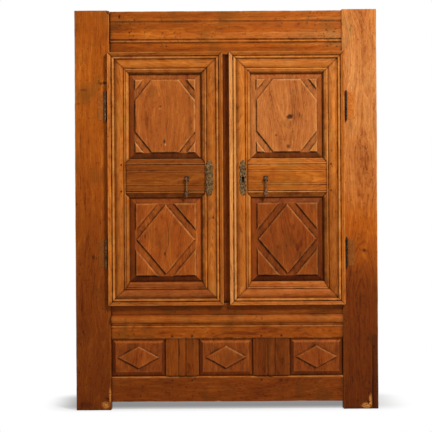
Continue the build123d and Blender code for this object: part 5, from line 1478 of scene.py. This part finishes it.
for flip, side in enumerate(("left", "right")):
    board(f"rear_post_{side}", (-680, -462, 0), X, -AHEAD, UP, (110, 45, 1776), f"rear_post_{side}",
          101 + flip, mirrored=side == "right", rounded=(3.5, 2.0),
          tone=[(0, -0.9), (600, -0.4), (1776, -0.1)])
    for number, (low, high) in enumerate(SIDE_RAILS):
        board(f"side_rail_{side}_{number + 1}", (-674, -45, low), UP, -X, -AHEAD, (high - low, 30, 372),
              f"side_rails_{side}", 111 + flip * 10 + number, mirrored=side == "right",
              tone=-0.75 + number * 0.2)
    # The side fields' bevels are darker by side, most at the bottom: painted shade by the way each bevel
    # faces the light.
    for number, (low, high) in enumerate(SIDE_GAPS):
        carved(f"side_field_{side}_{number + 1}", (45, 417, low, high), 652.25, 665.75, 3.0, 38.0, [],
               "root", f"side_panels_{side}", CASE_WOOD, seed=131 + flip * 10 + number,
               tone=-0.6 + number * 0.25, step=3.0, tools=0.0, mirrored=side == "right", turned=True,
               soil_and_shade=(0.2, 0.1, 0.45, 0.1))

for number in range(6):
    left = -650 + number * (1300 + 0.8) / 6
    board(f"back_board_{number + 1}", (left, -480, 300), X, -AHEAD, UP, (216, 18, 1494), "back_boards",
          151 + number, wave=0.8, tone=0.3 * ((number * 5) % 3 - 1))
for number in range(4):
    ahead = -45.2 - number * FLAT_PITCH
    board(f"top_board_{number + 1}", (0, ahead, HEADER_TOP), -AHEAD, UP, X, (FLAT_BOARD, 18, 0),
          "top_boards", 161 + number, ends=straight(-674, 674), wave=0.7, tone=-0.2 + 0.2 * (number % 2))
    board(f"floor_board_{number + 1}", (0, ahead, SILL[1]), -AHEAD, UP, X, (FLAT_BOARD, 18, 0),
          "floor_boards", 171 + number, ends=straight(-643.5, 643.5), wave=0.7)
for number, (label, top) in enumerate(SHELVES.items()):
    board(f"shelf_{label}", (0, -60, top), -AHEAD, UP, X, (401.5, 22, 0), f"shelf_{label}",
          181 + number, wave=0.6, ends=shelf_ends)
for label, (low, high) in BACK_RAILS.items():
    board(f"back_rail_{label}", (0, -427, low), UP, AHEAD, X, (high - low, 35, 0), "back_rails",
          191 + low, ends=straight(-569.8, 569.8))

KEPT = {"shelf_cleats": CLEAT_WOOD, "muntin_pegs": PEG_WOOD, "left_door_pegs": PEG_WOOD,
        "right_door_pegs": PEG_WOOD, "board_nails": IRON, "lock_case": LOCK_IRON, "lock_bolt": LOCK_IRON,
        "left_inner_bolt": LOCK_IRON, "left_bolt_guides": LOCK_IRON}
for name, finish in KEPT.items():
    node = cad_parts[name]
    node.data.materials.clear()
    node.data.materials.append(finish)


# ---------------------------------------------------------------- floor, light and camera
def seen_rays(tree):
    """1 for the rays of the camera, of reflections and of glass, and 0 for those that light things."""
    path = put(tree, "ShaderNodeLightPath").outputs
    behind = calc(tree, "MAXIMUM", path["Is Glossy Ray"], path["Is Transmission Ray"])
    return calc(tree, "MAXIMUM", path["Is Camera Ray"], behind)


def stage_floor():
    """Wide pale floor that glows white where it is looked at, from a quarter at the base to all of it
    0.2 m away, so that it keeps the shadow there and runs into the white behind."""
    half = 60
    mesh = bpy.data.meshes.new("floor")
    mesh.from_pydata([(-half, -half, 0), (half, -half, 0), (half, half, 0), (-half, half, 0)], [],
                     [(0, 1, 2, 3)])
    floor = bpy.data.objects.new("floor", mesh)
    bpy.context.scene.collection.objects.link(floor)
    floor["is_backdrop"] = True
    material, tree, shader = finish_of("pale_floor")
    shader.inputs["Base Color"].default_value = (0.86, 0.86, 0.86, 1)
    shader.inputs["Roughness"].default_value = 0.9
    shader.inputs["Specular IOR Level"].default_value = 0.0
    away = reckon(tree, "ABSOLUTE", put(tree, "ShaderNodeTexCoord").outputs["Object"])
    away = reckon(tree, "MAXIMUM", reckon(tree, "SUBTRACT", away, (0.66, 0.10, 0)), (0, 0, 0))
    far = put(tree, "ShaderNodeVectorMath", {0: away}, operation="LENGTH").outputs["Value"]
    share = product(tree, seen_rays(tree), between(tree, far, 0.0, 0.20, 0.25, 1.0))
    glow = put(tree, "ShaderNodeEmission", {"Color": (1, 1, 1, 1), "Strength": 1.0}).outputs[0]
    mixed = put(tree, "ShaderNodeMixShader", {0: share, 1: shader.outputs[0], 2: glow})
    tree.links.new(mixed.outputs[0], tree.nodes["Material Output"].inputs["Surface"])
    floor.data.materials.append(material)


def sky(level):
    """White to the camera and in reflections, and a plain even light at the level given."""
    world = bpy.data.worlds.new("studio")
    bpy.context.scene.world = world
    world.use_nodes = True
    tree = world.node_tree
    back = tree.nodes["Background"]
    strength = put(tree, "ShaderNodeMapRange", {"Value": seen_rays(tree), 3: level, 4: 1.0})
    tree.links.new(strength.outputs[0], back.inputs["Strength"])
    back.inputs["Color"].default_value = (1, 1, 1, 1)


def lamp(name, place, aim, wide, power):
    """Square area lamp turned towards a point."""
    light = bpy.data.lights.new(name, "AREA")
    light.shape = "SQUARE"
    light.size, light.energy = wide, power
    holder = bpy.data.objects.new(name, light)
    bpy.context.scene.collection.objects.link(holder)
    x, y, z = np.subtract(place, aim)
    holder.location = place
    holder.rotation_euler = (math.atan2(math.hypot(x, y), z), 0, math.atan2(x, -y))


def camera():
    """Level camera that sees view_wide metres across at the face frame, far metres away."""
    far, view_wide = 5.0, 1.944
    lens = bpy.data.cameras.new("camera")
    lens.sensor_width = 36
    lens.lens = lens.sensor_width * far / view_wide
    holder = bpy.data.objects.new("camera", lens)
    bpy.context.scene.collection.objects.link(holder)
    holder.location = (-0.0468, FACE - far, 0.8717)
    holder.rotation_euler = (math.pi / 2, math.radians(0.35), 0)
    bpy.context.scene.camera = holder


stage_floor()
sky(0.24)
lamp("key", (2.3, -3.5, 4.1), (0.0, -0.22, 1.0), 0.9, 235)
lamp("fill", (-2.6, -3.2, 1.6), (-0.2, -0.2, 0.9), 1.6, 10)
camera()
bpy.context.scene.view_settings.view_transform = "Standard"

low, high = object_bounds()
